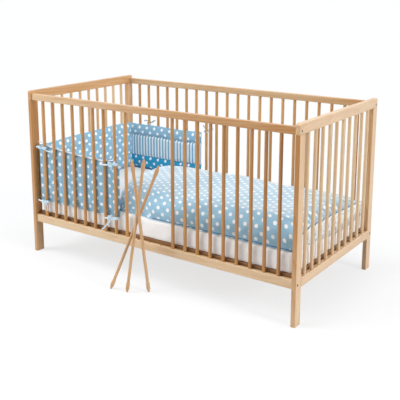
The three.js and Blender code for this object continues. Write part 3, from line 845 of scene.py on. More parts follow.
# %% Base frame and its slats
base_slats_low, base_slats_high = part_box("base_slats")
base_slat_thickness, base_slat_width, base_slat_count = 0.010, 0.060, 13
base_inner_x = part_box("base_end_right")[0].x
base_edge, batten_half = 0.0015, 0.02
ledge_reach = base_slats_high.y - middle_y + joint_gap
under_slats = base_slats_high.z - base_slat_thickness
for side, sign_y in sides.items():
    low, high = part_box(f"base_side_{side}")
    y = reach(sign_y, 0, ledge_reach, middle_y)
    x = base_inner_x - joint_gap
    ledge = box_between(Vector((-x, y[0], high.z - base_slat_thickness - joint_gap)),
                        Vector((x, y[1], high.z + past)))
    beam = cut_away(plank(low, high, "x", base_edge), [mesh_from(ledge)])
    place_wood(f"{side}_base_beam", beam, axes["x"], base_wood, f"base_side_{side}")
for end in ends:
    place_wood(f"{end}_base_beam", plank(*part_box(f"base_end_{end}"), "y", base_edge), axes["y"],
               base_wood, f"base_end_{end}")
step = 2 * base_inner_x / base_slat_count
for k in range(base_slat_count):
    x = -base_inner_x + (k + 0.5) * step
    slat = plank((x - base_slat_width / 2, base_slats_low.y, under_slats),
                 (x + base_slat_width / 2, base_slats_high.y, base_slats_high.z), "y", base_edge)
    place_wood(f"base_slat_{k + 1:02d}", slat, axes["y"], base_wood)
x = base_inner_x - joint_gap
batten = plank((-x, middle_y - batten_half, base_slats_low.z),
               (x, middle_y + batten_half, under_slats), "x", base_edge)
place_wood("base_batten", batten, axes["x"], base_wood, "base_slats")
print("the base lies", round(base_slats_high.z, 3), "m high")

# %% [markdown]
# ## Cotton
# All the bedding is plain-woven cotton: a white fitted sheet, a quilt with white dots on blue, and
# a bumper with dots and a striped band. Prints and weave could be laid out in space like the
# grain, but cloth bends, and its print has to bend with it. So every cloth mesh gets a flat map in
# metres, called "cloth", as if it lay on the cutting table. Dots and stripes are measured there.

# %% The printed dots, as a node group
def flat_map(tree):
    return wire(tree, "UVMap", uv_map="cloth").outputs[0]


def polka_dots():
    tree, given, out = new_group(
        "polka dots", [("Spacing", "Float", 0.05), ("Radius", "Float", 0.009),
                       ("Softness", "Float", 0.002)], [("Mask", "Float")])
    cells = vector(tree, "SCALE", flat_map(tree), Scale=calc(tree, "DIVIDE", 1, given["Spacing"]))
    reaches = []
    for shift in (0.0, 0.5):           # two square grids of dots, each in the other's gaps
        part = vector(tree, "FRACTION", vector(tree, "ADD", cells, (shift, shift, 0)))
        reaches.append(vector(tree, "LENGTH", vector(tree, "SUBTRACT", part, (0.5, 0.5, 0))))
    from_dot = calc(tree, "MULTIPLY", calc(tree, "MINIMUM", *reaches), given["Spacing"])
    edge = calc(tree, "SUBTRACT", given["Radius"], given["Softness"])
    outside = ease(tree, from_dot, edge, given["Radius"])
    tree.links.new(calc(tree, "SUBTRACT", 1, outside), out["Mask"])
    return tree


dots_group = polka_dots()
print("dots are ready")

# %% [markdown]
# Stripes are the simpler pattern. They are woven in with threads of two colours, and only the
# place along the cloth decides which one shows, so one direction of the flat map is enough.

# %% The woven stripes, as a node group
def woven_stripes():
    tree, given, out = new_group(
        "woven stripes", [("Pitch", "Float", 0.02), ("Share", "Float", 0.48)], [("Mask", "Float")])
    along = wire(tree, "SeparateXYZ", {0: flat_map(tree)}).outputs["X"]
    part = calc(tree, "FRACT", calc(tree, "DIVIDE", along, given["Pitch"]))
    from_middle = calc(tree, "ABSOLUTE", calc(tree, "SUBTRACT", part, 0.5))
    half = calc(tree, "MULTIPLY", given["Share"], 0.5)
    outside = ease(tree, from_middle, calc(tree, "SUBTRACT", half, 0.03), half)
    tree.links.new(calc(tree, "SUBTRACT", 1, outside), out["Mask"])
    return tree


stripes_group = woven_stripes()
print("stripes are ready")

# %% [markdown]
# Woven cotton has threads that cross over and under, and never lies quite flat. The weave group
# makes the threads from two waves, and adds the small puckers that washing leaves, from noise on
# the same flat map. It puts out a height for the bump and a faint change of colour: uneven yarn,
# and painted shade that darkens the low parts of the puckers.

# %% The weave, as a node group
def cotton_weave():
    tree, given, out = new_group(
        "cotton weave", [("Thread", "Float", 0.0009), ("Pucker", "Float", 0.022),
                         ("Pucker Height", "Float", 1.0)],
        [("Height", "Float"), ("Shade", "Float")])
    flat = flat_map(tree)
    xyz = wire(tree, "SeparateXYZ", {0: flat}).outputs
    turns = [calc(tree, "DIVIDE", calc(tree, "MULTIPLY", xyz[axis], math.tau), given["Thread"])
             for axis in ("X", "Y")]
    thread = calc(tree, "MULTIPLY", *(calc(tree, "SINE", turn) for turn in turns))
    pucker = noise(tree, flat, 3, calc(tree, "DIVIDE", 1, given["Pucker"]), Roughness=0.55,
                   Distortion=0.6)
    slub = noise(tree, vector(tree, "MULTIPLY", flat, (60, 900, 1)), 1)
    puckers = calc(tree, "MULTIPLY", pucker, given["Pucker Height"])
    height = weigh(tree, calc(tree, "MULTIPLY", thread, 0.05), (puckers, 3))
    tree.links.new(height, out["Height"])
    # Painted shade: the puckers' hollows are darker, and the yarn's slubs vary the colour too.
    tree.links.new(weigh(tree, 0.86, (slub, 0.10), (pucker, 0.14)), out["Shade"])
    return tree


weave_group = cotton_weave()
print("the weave group has", len(weave_group.nodes), "nodes")

# %% [markdown]
# A cotton is then its ground colour, a printed or woven mark, and the weave over both. Cloth has
# fine loose fibres on it that catch light at its edges, which the shader calls sheen.

# %% Nine cottons
dot_spacing, mark_white = 0.052, (0.88, 0.90, 0.92)


def cotton(name, ground, mark=None, group=None, sizes=(), sheen=0.6):
    material, tree, shader = new_material(name, Roughness=0.9, Sheen_Weight=sheen,
                                          Sheen_Roughness=0.45, Specular_IOR_Level=0.25)
    color = (*ground, 1)
    if group:
        color = blend(tree, use_group(tree, group, sizes)["Mask"], color, (*mark, 1))
    weave = use_group(tree, weave_group)
    # The weave's factor multiplies the colour, with painted shade in the puckers' hollows.
    shade = wire(tree, "CombineColor", {k: weave["Shade"] for k in range(3)}).outputs[0]
    tree.links.new(blend(tree, 1.0, color, shade, "MULTIPLY"), shader.inputs["Base Color"])
    bump(tree, shader, weave["Height"], 0.5, 0.0006)
    return material


def dotted(name, ground, spacing, radius, softness, mark=mark_white, **more):
    sizes = {"Spacing": spacing, "Radius": radius, "Softness": softness}
    return cotton(name, ground, mark, dots_group, sizes, **more)


sheet_cotton = cotton("white sheet cotton", (0.90, 0.89, 0.88))
quilt_cotton = dotted("pale blue dotted cotton", (0.29, 0.50, 0.65), dot_spacing, 0.0098, 0.0034,
                      sheen=1.0)
lining_cotton = dotted("pale lining cotton", (0.80, 0.82, 0.82), 0.034, 0.0052, 0.002,
                       (0.42, 0.60, 0.74))
# Painted shadow: the piping is dark to stand for the shadow line under the quilt's edge.
seam_shadow_piping_cotton = cotton("dark piping cotton with painted seam shadow", (0.03, 0.14, 0.25))
bumper_cotton = dotted("mid blue dotted cotton", (0.235, 0.445, 0.60), dot_spacing, 0.0094, 0.0022)
band_cotton = dotted("deep blue dotted cotton", (0.010, 0.32, 0.57), dot_spacing, 0.0085, 0.0022)
striped_cotton = cotton("striped cotton", (0.22, 0.45, 0.62), mark_white, stripes_group)
tape_cotton = cotton("white tape cotton", (0.80, 0.84, 0.88))
tie_cotton = dotted("tie cotton", (0.47, 0.67, 0.80), 0.013, 0.0032, 0.0012)
print("nine cottons")

# %% [markdown]
# ## Soft shapes
# Filled cloth gets its look from three things: the shape that its filling gives it, the seams that
# hold it in, and the small folds of spare cloth between them. The first two are modelled as a grid
# that follows the seams. The folds come from a short cloth simulation: a little air pressure
# swells the closed shape, and slightly too much cloth makes it buckle. Each point has its own cap
# on how far it may move, so a pad never grows into the wood beside it.

# %% Let cloth settle
def points_of(mesh):
    points = np.empty(3 * len(mesh.vertices))
    mesh.vertices.foreach_get("co", points)
    return points.reshape(-1, 3)


def settle(mesh, cap, pressure=4.0, spare=0.02, frames=20):
    """Swells a closed mesh as cloth. A point moves by its cap in metres at most."""
    work = add_object("settling", mesh.copy())
    held = work.vertex_groups.new(name="held")
    for index in np.flatnonzero(cap <= 0):
        held.add([int(index)], 1.0, "REPLACE")
    cloth = work.modifiers.new("cloth", "CLOTH")
    rules = cloth.settings
    rules.quality, rules.mass = 6, 0.25
    rules.tension_stiffness = rules.compression_stiffness = 12
    rules.bending_stiffness = 0.25
    rules.use_pressure = True
    rules.uniform_pressure_force = pressure
    rules.shrink_min = -spare
    rules.effector_weights.gravity = 0
    rules.vertex_group_mass = "held"
    cloth.collision_settings.use_collision = False
    cloth.point_cache.frame_start, cloth.point_cache.frame_end = 1, frames
    for frame_number in range(1, frames + 1):
        bpy.context.scene.frame_set(frame_number)
    settled = work.evaluated_get(bpy.context.evaluated_depsgraph_get())
    points = points_of(mesh)
    step = points_of(settled.data) - points
    length = np.linalg.norm(step, axis=1)
    allowed = cap * np.tanh(length / np.maximum(cap, 1e-6))
    points += step * np.where(length > 1e-9, allowed / np.maximum(length, 1e-9), 0)[:, None]
    mesh.vertices.foreach_set("co", points.ravel())
    mesh.update()
    spare_mesh = work.data
    bpy.data.objects.remove(work)
    bpy.data.meshes.remove(spare_mesh)
    bpy.context.scene.frame_set(1)
    print("   settled", len(points), "points by up to", round(1000 * allowed.max(), 1), "mm")


def place_pad(name, mesh, slot, finish, node):
    """A settled pad, made finer by one level of subdivision."""
    piece = place(name, mesh, "bed", slot, finish, node)
    piece.modifiers.new("finer", "SUBSURF").render_levels = 1
    return piece


print("cloth can settle")

# %% [markdown]
# A soft mesh is put together from patches. A patch is a grid of points with a flat place for each
# of them. Patches that share an edge are welded by distance, but each keeps its own flat map, so
# a print may break at a seam as it does when two pieces of cloth are sewn together.

# %% Sew patches together
def new_cloth():
    bm = bmesh.new()
    return bm, bm.loops.layers.uv.new("cloth")


def add_face(bm, layer, corners, flats, kind=0):
    face = bm.faces.new(corners)
    face.material_index = int(kind)
    for loop, flat in zip(face.loops, flats):
        loop[layer].uv = flat


def sew(patches):
    """patches: (points[n, m, 3], flat[n, m, 2], material index[n-1, m-1] or a number)."""
    bm, layer = new_cloth()
    for points, flat, kind in patches:
        rows, columns = points.shape[:2]
        kind = np.broadcast_to(kind, (rows - 1, columns - 1))
        grid = [[bm.verts.new(points[i, j]) for j in range(columns)] for i in range(rows)]
        for i in range(rows - 1):
            for j in range(columns - 1):
                corners = ((i, j), (i + 1, j), (i + 1, j + 1), (i, j + 1))
                add_face(bm, layer, [grid[a][b] for a, b in corners],
                         [flat[corner] for corner in corners], kind[i, j])
    bmesh.ops.remove_doubles(bm, verts=bm.verts, dist=0.00005)
    bmesh.ops.dissolve_degenerate(bm, edges=bm.edges, dist=0.00001)
    mesh = mesh_from(bm)
    mesh.shade_smooth()
    return mesh


def lengths(line):
    """How far each point of a line lies along it."""
    return np.r_[0, np.cumsum(np.linalg.norm(np.diff(line, axis=0), axis=1))]


def running_length(points, axis):
    """Flat places along one direction of a grid, in metres and counted from its middle."""
    step = np.linalg.norm(np.diff(points, axis=axis), axis=2)
    first = np.zeros_like(np.take(step, [0], axis=axis))
    length = np.cumsum(np.concatenate([first, step], axis=axis), axis=axis)
    return length - np.take(length, [length.shape[axis] // 2], axis=axis)


def laid_flat(points):
    return np.stack([running_length(points, 0), running_length(points, 1)], axis=-1)


def evenly(line, count):
    """count parameters that are evenly spaced along a line of points."""
    length = lengths(line)
    return np.interp(np.linspace(0, length[-1], count), length, np.linspace(0, 1, len(line)))


print("patches can be sewn")

# %% [markdown]
# ## The mattress
# A foam block in a white fitted sheet. Its sides are straight, its edges soft, and the sheet is
# pulled tight round the corners, so a few shallow creases run out from them. A rounded box has no
# flat pattern of its own, so it starts as a plain box of six patches, and is rounded afterwards.

# %% A box of patches
cloth_step, cloth_rim = 0.014, 0.021


def grid_lines(low, high):
    """Even lines between two limits, with the first and the last a rim away from the next."""
    count = max(2, round((high - low - 2 * cloth_rim) / cloth_step) + 1)
    return np.r_[low, np.linspace(low + cloth_rim, high - cloth_rim, count), high]


def box_patches(lines):
    """Six grids on the sides of a box, from its lines along x, y and z."""
    patches = []
    for fixed in range(3):
        a, b = [k for k in range(3) if k != fixed]
        for value in (lines[fixed][0], lines[fixed][-1]):
            grid = np.empty((len(lines[a]), len(lines[b]), 3))
            grid[..., fixed] = value
            grid[..., a], grid[..., b] = np.meshgrid(lines[a], lines[b], indexing="ij")
            flat = grid[..., :2] if fixed == 2 else np.stack(
                [grid[..., 1 - fixed], grid[..., 2] + 3 * fixed + 1], axis=-1)
            patches.append((grid, flat, 0))
    return patches


print("a box of cloth has a point every", 1000 * cloth_step, "mm")

# %% [markdown]
# Each point of the box is pulled in to a rounded rectangle, which is smaller the nearer the point
# lies to the top or the bottom, and that rounds the long edges. Only the sides may settle, and
# by very little, because the rails are close to them.

# %% Round the mattress and let it settle
mattress_low, mattress_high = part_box("mattress")
mattress_edge, mattress_sole, mattress_corner = 0.013, 0.004, 0.024
mattress_inset = 0.0012                # the sheet stays clear of the rails beside it
mattress_cap = 0.0022


def pulled_in(to_end, radius):
    """How far a quarter circle lies inside its edge, from the distance to its end."""
    part = np.clip(radius - to_end, 0, radius)
    return radius - np.sqrt(radius ** 2 - part ** 2)


def mattress_mesh(low, high):
    near_top = high[2] - np.array([mattress_edge, 0.0065, 0.003, 0.0008, 0])
    near_sole = low[2] + np.array([0, 0.0012, mattress_sole])
    upright = np.linspace(near_sole[-1], near_top[0], 6)[1:-1]
    mesh = sew(box_patches([grid_lines(low[0], high[0]), grid_lines(low[1], high[1]),
                            np.r_[near_sole, upright, near_top]]))
    points = points_of(mesh)
    middle, half = ((low + high) / 2)[:2], ((high - low) / 2)[:2]
    inset = (pulled_in(high[2] - points[:, 2], mattress_edge)
             + pulled_in(points[:, 2] - low[2], mattress_sole))[:, None]
    radius = mattress_corner - inset
    plan = points[:, :2] - middle
    core = np.clip(plan, radius + inset - half, half - inset - radius)
    away = plan - core
    length = np.linalg.norm(away, axis=1, keepdims=True)
    points[:, :2] = middle + core + away / np.maximum(length, 1e-9) * np.minimum(length, radius)
    mesh.vertices.foreach_set("co", points.ravel())
    return mesh, points


inset = np.array([mattress_inset, mattress_inset, 0])
low, high = np.array(mattress_low) + inset, np.array(mattress_high) - inset
mattress, points = mattress_mesh(low, high)
on_side = (points[:, 2] > low[2] + 0.008) & (points[:, 2] < high[2] - 0.004)
settle(mattress, np.where(on_side, mattress_cap, 0.0), pressure=3, spare=0.03)
piece = place_pad("mattress_in_its_sheet", mattress, "white_cotton", sheet_cotton, "mattress")
print("the mattress is", round(high[2] - low[2], 3), "m thick")

# %% [markdown]
# ## The quilt
# The quilt is two sheets of dotted cotton with a thick filling. It covers the foot end, and its
# sides hang to the mattress edge. It is highest along the front, lower at the back, and slopes
# away to its head and foot edges. Modelling that by hand would be slow to change, so the height
# is a formula over the plan.

# %% Work out the quilt's height
quilt_low, quilt_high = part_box("quilt")
quilt_seam = quilt_low.z + 0.0045      # the seam between the upper and the lower sheet
quilt_foot_x = quilt_high.x - 0.001
quilt_half = 0.3425                    # half its width, where no arm of the bumper lies beside it
foot_bulge = 0.007                     # how far the foot end swells out between two slats
bumper_low, bumper_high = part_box("bumper")
bumper_thickness = 0.018
outer_y = bumper_high.y - middle_y
arm_y = outer_y - bumper_thickness     # the inner faces of the bumper's arms
front_arm_x = bumper_high.x
back_arm_x = front_arm_x - 0.030


def rounding(distance, radius, power=2.2):
    """0 at an edge, 1 a radius away from it, and steep at the edge."""
    part = np.clip(1 - distance / radius, 0, 1)
    return np.maximum(1 - part ** power, 0) ** (1 / power)


def between(value, low, high):
    part = np.clip((value - low) / (high - low), 0, 1)
    return part * part * (3 - 2 * part)


def between_slats(y):
    """1 half way between two slats of the end, and 0 behind a slat."""
    return 0.5 + 0.5 * np.cos(math.tau * y / slat_pitch)


def quilt_head(y):
    """The head edge runs from the bumper's front arm back towards the head."""
    return np.interp(y, [-0.343, -0.30, -0.22, -0.12, 0.0, 0.20, 0.343],
                     [-0.205, -0.235, -0.300, -0.352, -0.385, -0.398, -0.396])


def quilt_sides(x):
    """How far the quilt reaches from the middle: less between the arms of the bumper."""
    return [np.interp(x, [arm_x - 0.02, arm_x + 0.035], [arm_y - 0.004, quilt_half])
            for arm_x in (front_arm_x, back_arm_x)]


def foot_seam(y):
    """How far the seam rises above the sheet at the foot end: most where the quilt is fullest."""
    rise = np.interp(y, [-0.343, -0.318, -0.27, -0.206, 0.0, 0.322, 0.343],
                     [0.0, 0.018, 0.043, 0.056, 0.050, 0.033, 0.018])
    return rise * (0.86 + 0.26 * between_slats(y))


def quilt_height(x, y):
    """Height of the upper sheet above the front seam, with y from the crib's middle."""
    top = np.interp(y, [-0.343, -0.325, -0.2, 0.0, 0.155, 0.300, 0.343],
                    [0.100, 0.101, 0.098, 0.095, 0.090, 0.052, 0.040])
    top += 0.004 * np.sin(7.3 * x + 1.0) * np.sin(6.1 * y + 0.6)
    top += 0.0025 * np.sin(17 * x - 9 * y + 2.0)
    head = rounding(x - quilt_head(y), 0.11 + 0.05 * between(y, -0.3, 0.0))
    foot = rounding(quilt_foot_x - x, 0.060 + 0.045 * between(y, -0.33, 0.1))
    front, back = quilt_sides(x)
    side = rounding(y + front, 0.075) * rounding(back - y, 0.060)
    full = top * head * side
    seam = np.minimum(foot_seam(y), full)
    return seam + (full - seam) * foot


print("the quilt is", round(quilt_high.z - quilt_low.z, 3), "m thick at its front")

# %% [markdown]
# The grid's lines are spread evenly along the cloth and not along the plan, or the steep sides
# would get none. A filled quilt stands out over its seam, so the points near the seam are then
# drawn in a little, and the foot end is let out where it lies between two slats.

# %% Lay out the quilt's upper sheet
quilt_rows, quilt_columns = 74, 68
fullest_x = 0.2                        # the columns are spread evenly along the cloth there
seam_tuck, foot_tuck = 0.010, 0.008    # how far the seam lies inside the swelling sides


def quilt_grid():
    """Points of the upper sheet, even along the cloth in both directions."""
    fine = np.linspace(0, 1, 1500)
    head = quilt_head(0.0)
    x = head + fine * (quilt_foot_x - head)
    s = evenly(np.c_[x, quilt_height(x, 0.0)], quilt_rows)
    y = -quilt_half + fine * 2 * quilt_half
    t = evenly(np.c_[y, quilt_height(fullest_x, y)], quilt_columns)
    grid = np.empty((quilt_rows, quilt_columns, 3))
    for i in range(quilt_rows):
        front, back = quilt_sides(head + s[i] * (quilt_foot_x - head))
        y = -front + t * (front + back)
        x = quilt_head(y) + s[i] * (quilt_foot_x - quilt_head(y))
        grid[i] = np.stack([x, y, quilt_seam + quilt_height(x, y)], axis=-1)
    grid[0, :, 2] = grid[:, 0, 2] = grid[:, -1, 2] = quilt_seam
    return grid


def tuck_seam(grid):
    """The seam lies a little inside the swelling sides."""
    x, y, z = np.moveaxis(grid, -1, 0)           # three views of the grid, changed in place
    at_foot, near_foot = (1 - between(quilt_foot_x - x, 0, size) for size in (0.03, 0.07))
    seam = quilt_seam + foot_seam(y) * (at_foot > 0)
    low_part = 1 - between(z, seam, seam + 0.030)
    at_head = 1 - between(x - quilt_head(y), 0, 0.04)
    at_side = 1 - between(quilt_half - np.abs(y), 0, 0.04)
    x += (seam_tuck * at_head - foot_tuck * at_foot) * low_part
    y -= seam_tuck * np.sign(y) * at_side * low_part
    x += foot_bulge * between_slats(y) * near_foot
    return grid


upper = tuck_seam(quilt_grid())
print("the quilt's upper sheet has", quilt_rows, "by", quilt_columns, "points")

# %% [markdown]
# The lower sheet shares the upper one's rim and is flat inside it. The two are sewn, and then the
# quilt swells. Where the bumper's arms, the foot end's slats or the seam are near, the cap is low.

# %% Sew the quilt and let it settle
def capped(cap, *limits):
    """Lowers a cap in places. A limit is a mask and the most that it allows there."""
    for where, most in limits:
        cap = np.where(where, np.minimum(cap, most), cap)
    return cap


lower = upper.copy()
lower[1:-1, 1:-1, 2] = quilt_low.z + joint_gap
quilt = sew([(half + (0, middle_y, 0), laid_flat(half) + shift, 0)
             for half, shift in ((upper, 0), (lower, 5))])
points = points_of(quilt)
from_foot = quilt_foot_x - points[:, 0]
over_seam = points[:, 2] - quilt_seam - foot_seam(points[:, 1] - middle_y)
cap = capped(np.where(points[:, 2] > quilt_seam + 0.004, 0.009, 0.0),
             (np.abs(points[:, 1] - middle_y) > arm_y - 0.012, 0.0025), (from_foot < 0.03, 0.003),
             ((from_foot < 0.012) & (over_seam < 0.003), 0.0))
settle(quilt, cap, pressure=4, spare=0.04)
piece = place_pad("quilt_with_dots", quilt, "dotted_cotton", quilt_cotton, "quilt")
print("the quilt has", len(quilt.vertices), "points")

# %% [markdown]
# The quilt's seam has a thin piping, whose dark colour also paints the shadow line under the
# quilt's edge. At the foot end the seam runs up over the fullest part and the quilt's pale lining
# shows below it, tucked down between the mattress and the slats. The piping is a tube swept along
# the seam's own points, so it follows any change of the quilt. The bumper's tape and ties are swept
# in the same way, each with its own section.

# %% Sweep a section along a line
def sweep(bm, layer, line, section, flat_v, facing, start=0.0):
    """Carries a closed section along a line and closes both ends. A point of the section goes
    across the line, and then towards what facing(point, share) gives."""
    rings, run = [], start
    for k, point in enumerate(line):
        along = (line[min(k + 1, len(line) - 1)] - line[max(k - 1, 0)]).normalized()
        side = along.cross(facing(point, k / (len(line) - 1))).normalized()
        out = side.cross(along)
        run += (point - line[k - 1]).length if k else 0
        rings.append((run, [bm.verts.new(point + side * a + out * b) for a, b in section]))
    for (u0, first), (u1, second) in zip(rings, rings[1:]):
        for j in range(len(section)):
            following = (j + 1) % len(section)
            add_face(bm, layer, [first[j], first[following], second[following], second[j]],
                     [(u0, flat_v[j]), (u0, flat_v[j + 1]), (u1, flat_v[j + 1]), (u1, flat_v[j])])
    for _, ring in (rings[0], rings[-1]):
        bm.faces.new(ring)
    return run - start


# The tube is a real piping, and its dark cotton also paints the seam's shadow.
def piping(line, radius, around=8):
    bm, layer = new_cloth()
    turns = [math.tau * j / around for j in range(around + 1)]
    section = [(radius * math.cos(t), radius * math.sin(t)) for t in turns[:-1]]
    sweep(bm, layer, line, section, [radius * t for t in turns], lambda *_: Vector((0, 0, 1)))
    mesh = mesh_from(bm)
    mesh.shade_smooth()
    return mesh


seam_line = np.concatenate([upper[:, 0] + (0, -0.0012, 0), upper[-1, 1:-1] + (0.0012, 0, 0)])
seam_line += (0, middle_y, 0)
seam_line = [Vector(p) for p in seam_line[seam_line[:, 0] > front_arm_x - 0.05]]
# Painted shadow: a dark tube along the seam, where the quilt's edge throws a thin shadow.
place("quilt_piping_with_painted_shadow", piping(seam_line, 0.0017), "bed", "dotted_cotton", seam_shadow_piping_cotton)
print("the piping follows", len(seam_line), "points")

# %% [markdown]
# The lining is a thin padded strip with upright creases. One closed section is drawn for each
# place across the foot end, and its height follows the quilt's seam there.

# %% Make the lining
def lining_grid():
    sheet, inner = mattress_high.z, mattress_high.x + 0.0014
    ys = np.linspace(-0.326, 0.330, 96)
    hang = np.interp(ys, [-0.335, -0.202, -0.135, -0.014, 0.057, 0.122, 0.322],
                     [0.0, 0.003, 0.009, 0.027, 0.033, 0.036, 0.018])
    rows = []
    for y, drop in zip(ys, hang):
        top, low = quilt_seam + foot_seam(y) - 0.001, sheet - drop
        mid = (top + sheet) / 2
        crease = 0.0011 * math.sin(y * 151 + 2 * math.sin(y * 23)) + 0.0006 * math.sin(y * 317)
        out = quilt_foot_x + 0.0002 + crease
        rows.append([(out - 0.0016, low), (out, low + 0.002), (out, (low + sheet) / 2),
                     (out + 0.0004, sheet), (out + 0.0010, mid), (out + 0.0004, top - 0.007),
                     (out - 0.0020, top - 0.002), (out - 0.0075, top), (out - 0.016, top - 0.004),
                     (out - 0.022, mid), (out - 0.020, sheet + 0.002), (inner + 0.0002, sheet),
                     (inner - 0.0002, sheet - 0.003), (inner, low + 0.0016)])
        rows[-1].append(rows[-1][0])
    x, z = np.moveaxis(np.array(rows), -1, 0)
    y = np.repeat(ys[:, None], x.shape[1], 1)
    slanted = 0.0013 * np.sin(95 * y + 170 * z)
    above = between(z, sheet - 0.012, sheet + 0.010)
    return np.stack([x + (foot_bulge * between_slats(y) + slanted) * above, y + middle_y, z],
                    axis=-1)


lining_points = lining_grid()
lining = sew([(lining_points, laid_flat(lining_points), 0)])
bm = bmesh.new()                       # only now closed at its ends, which keeps them flat
bm.from_mesh(lining)
bmesh.ops.holes_fill(bm, edges=[e for e in bm.edges if e.is_boundary])
bmesh.ops.recalc_face_normals(bm, faces=bm.faces)
bm.to_mesh(lining)
bm.free()
piece = place("quilt_lining", lining, "bed", "dotted_cotton", lining_cotton)
print("the lining strip is", round(float(np.ptp(lining_points[..., 1])), 3), "m wide")

# %% [markdown]
# ## The bumper
# A long pad in a U round the head end, 25 cm high. Its inside has three bands that are sewn
# together: deep blue with dots below, stripes in the middle and dots above. A thin lower edge is
# tucked down beside the mattress. It is swept: one cross-section, drawn once with its seams as
# grooves, is carried along the U. Each row of faces then knows which band it belongs to.

# %% Draw the bumper's path
bumper_reach = bumper_high.x - bumper_low.x
back_reach = bumper_reach - 0.030
bumper_corner, bumper_corner_steps = 0.024, 7


def bumper_path(step):
    """Points on the outer face, from the front arm's end to the back arm's, with inward normals."""
    x0, r, places, normals = bumper_low.x, bumper_corner, [], []

    def straight(start, end, normal):
        start, end = Vector(start), Vector(end)
        count = max(2, round((end - start).length / step))
        places.extend(start.lerp(end, k / count) for k in range(count))
        normals.extend([Vector(normal)] * count)

    def corner(centre, first):
        for k in range(bumper_corner_steps):
            a = math.radians(first - 90 * k / bumper_corner_steps)
            direction = Vector((math.cos(a), math.sin(a)))
            places.append(Vector(centre) + r * direction)
            normals.append(-direction)

    straight((x0 + bumper_reach, -outer_y), (x0 + r, -outer_y), (0, 1))
    corner((x0 + r, -outer_y + r), 270)
    straight((x0, -outer_y + r), (x0, outer_y - r), (1, 0))
    corner((x0 + r, outer_y - r), 180)
    straight((x0 + r, outer_y), (x0 + back_reach, outer_y), (0, -1))
    places.append(Vector((x0 + back_reach, outer_y)))
    normals.append(Vector((0, -1)))
    return np.array(places), np.array(normals)


path, inward = bumper_path(slat_pitch / 6)
print("the bumper is", round(lengths(path)[-1], 3), "m long")

# %% [markdown]
# The cross-section is two curves over the height: how far the outer and the inner face lie from
# the path. Both are full between the seams, thin at the rim and thinnest in the edge below.

# %% Draw the bumper's cross-section
pad_low = mattress_high.z + 0.0005
seam_heights = (pad_low + 0.072, pad_low + 0.190)
bumper_top = bumper_high.z + 0.003


def bumper_levels():
    """Heights of the section's rows, closer together at seams and at the top."""
    near = (-0.010, -0.005, -0.0018, 0, 0.0018, 0.005, 0.010)
    rows = {bumper_low.z, bumper_low.z + 0.012, bumper_low.z + 0.022, pad_low - 0.002,
            pad_low + 0.003, pad_low + 0.009}
    rows |= {seam + d for seam in seam_heights for d in near}
    rows |= {bumper_top - d for d in (0.010, 0.006, 0.003, 0.001, 0)}
    starts = [pad_low + 0.009, *(seam + 0.010 for seam in seam_heights)]
    stops = [*(seam - 0.010 for seam in seam_heights), bumper_top - 0.016]
    for a, b in zip(starts, stops):
        count = max(1, round((b - a) / 0.011))
        rows |= {a + (b - a) * k / count for k in range(count + 1)}
    return np.array(sorted(round(z, 5) for z in rows))


def inner_face(z):
    """Distance of the inner face from the path, with a groove at each seam."""
    full = np.interp(z, [bumper_low.z, pad_low - 0.002, pad_low + 0.003, pad_low + 0.020,
                         bumper_top - 0.030, bumper_top - 0.012, bumper_top],
                     [0.0042, 0.0044, 0.007, 0.016, 0.0165, 0.0125, 0.0062])
    for seam in seam_heights:
        full = full - 0.0055 * np.exp(-((z - seam) / 0.0035) ** 2)
    return full


def outer_face(z):
    return np.interp(z, [bumper_low.z, pad_low - 0.002, pad_low + 0.012, bumper_top - 0.020,
                         bumper_top - 0.006, bumper_top],
                     [0.0006, 0.0008, 0.0004, 0.0004, 0.0018, 0.0048])


levels = bumper_levels()
print("each face of the bumper has", len(levels), "rows")

# %% [markdown]
# The real pad isn't straight. It swells out between the slats, its front arm hangs a little
# between its ties, and both its ends narrow to a seam. Each of these is a small shift that is
# added to the section's points while it is carried along.

# %% Sweep the bumper
front_arm_sag = 0.020                  # the front arm hangs a little between its ties
bulge = 0.0035                         # how far the pad swells out between two slats
closing_length = 0.011                 # the pad narrows to a seam over this length at its ends


def swell(place, normal, heights):
    """0 behind a slat, and up to the bulge between two, where the pad's filling has room."""
    if abs(normal).max() < 0.99:
        return np.zeros(len(heights))
    on_side = abs(normal[1]) > 0.99
    along = place[0] + slat_pitch / 2 if on_side else place[1]      # the ends' slats lie between
    from_slat = abs(along % slat_pitch - slat_pitch / 2)
    sideways = 1 - math.exp(-(from_slat / 0.013) ** 2)
    upright = between(heights, pad_low, pad_low + 0.03)
    upright *= between(bumper_top - heights, 0.002, 0.03)
    return bulge * sideways * upright


def bumper_grid(run, heights, is_outer, depth):
    """The section's points at each point of the path: it sags, swells and closes at its ends."""
    middle = (outer_face(heights) + inner_face(heights)) / 2
    grid = np.empty((len(run), len(heights), 3))
    for i, at in enumerate(run):
        closing = float(rounding(min(at, run[-1] - at) + 0.0004, closing_length, 2.0))
        n = middle + (depth - middle) * (0.12 + 0.88 * closing)
        n = n - np.where(is_outer, swell(path[i], inward[i], heights) * closing, 0)
        sag = 0.0035 * math.sin(at * 7.0 + 0.8) + 0.002 * math.sin(at * 19.0)
        sag -= front_arm_sag * between(bumper_reach - at, 0.05, 0.30)
        lift = between(heights, pad_low, bumper_top) * (sag - 0.004 * (1 - closing))
        grid[i, :, :2] = path[i] + (0, middle_y) + n[:, None] * inward[i]
        grid[i, :, 2] = heights + lift
    return grid


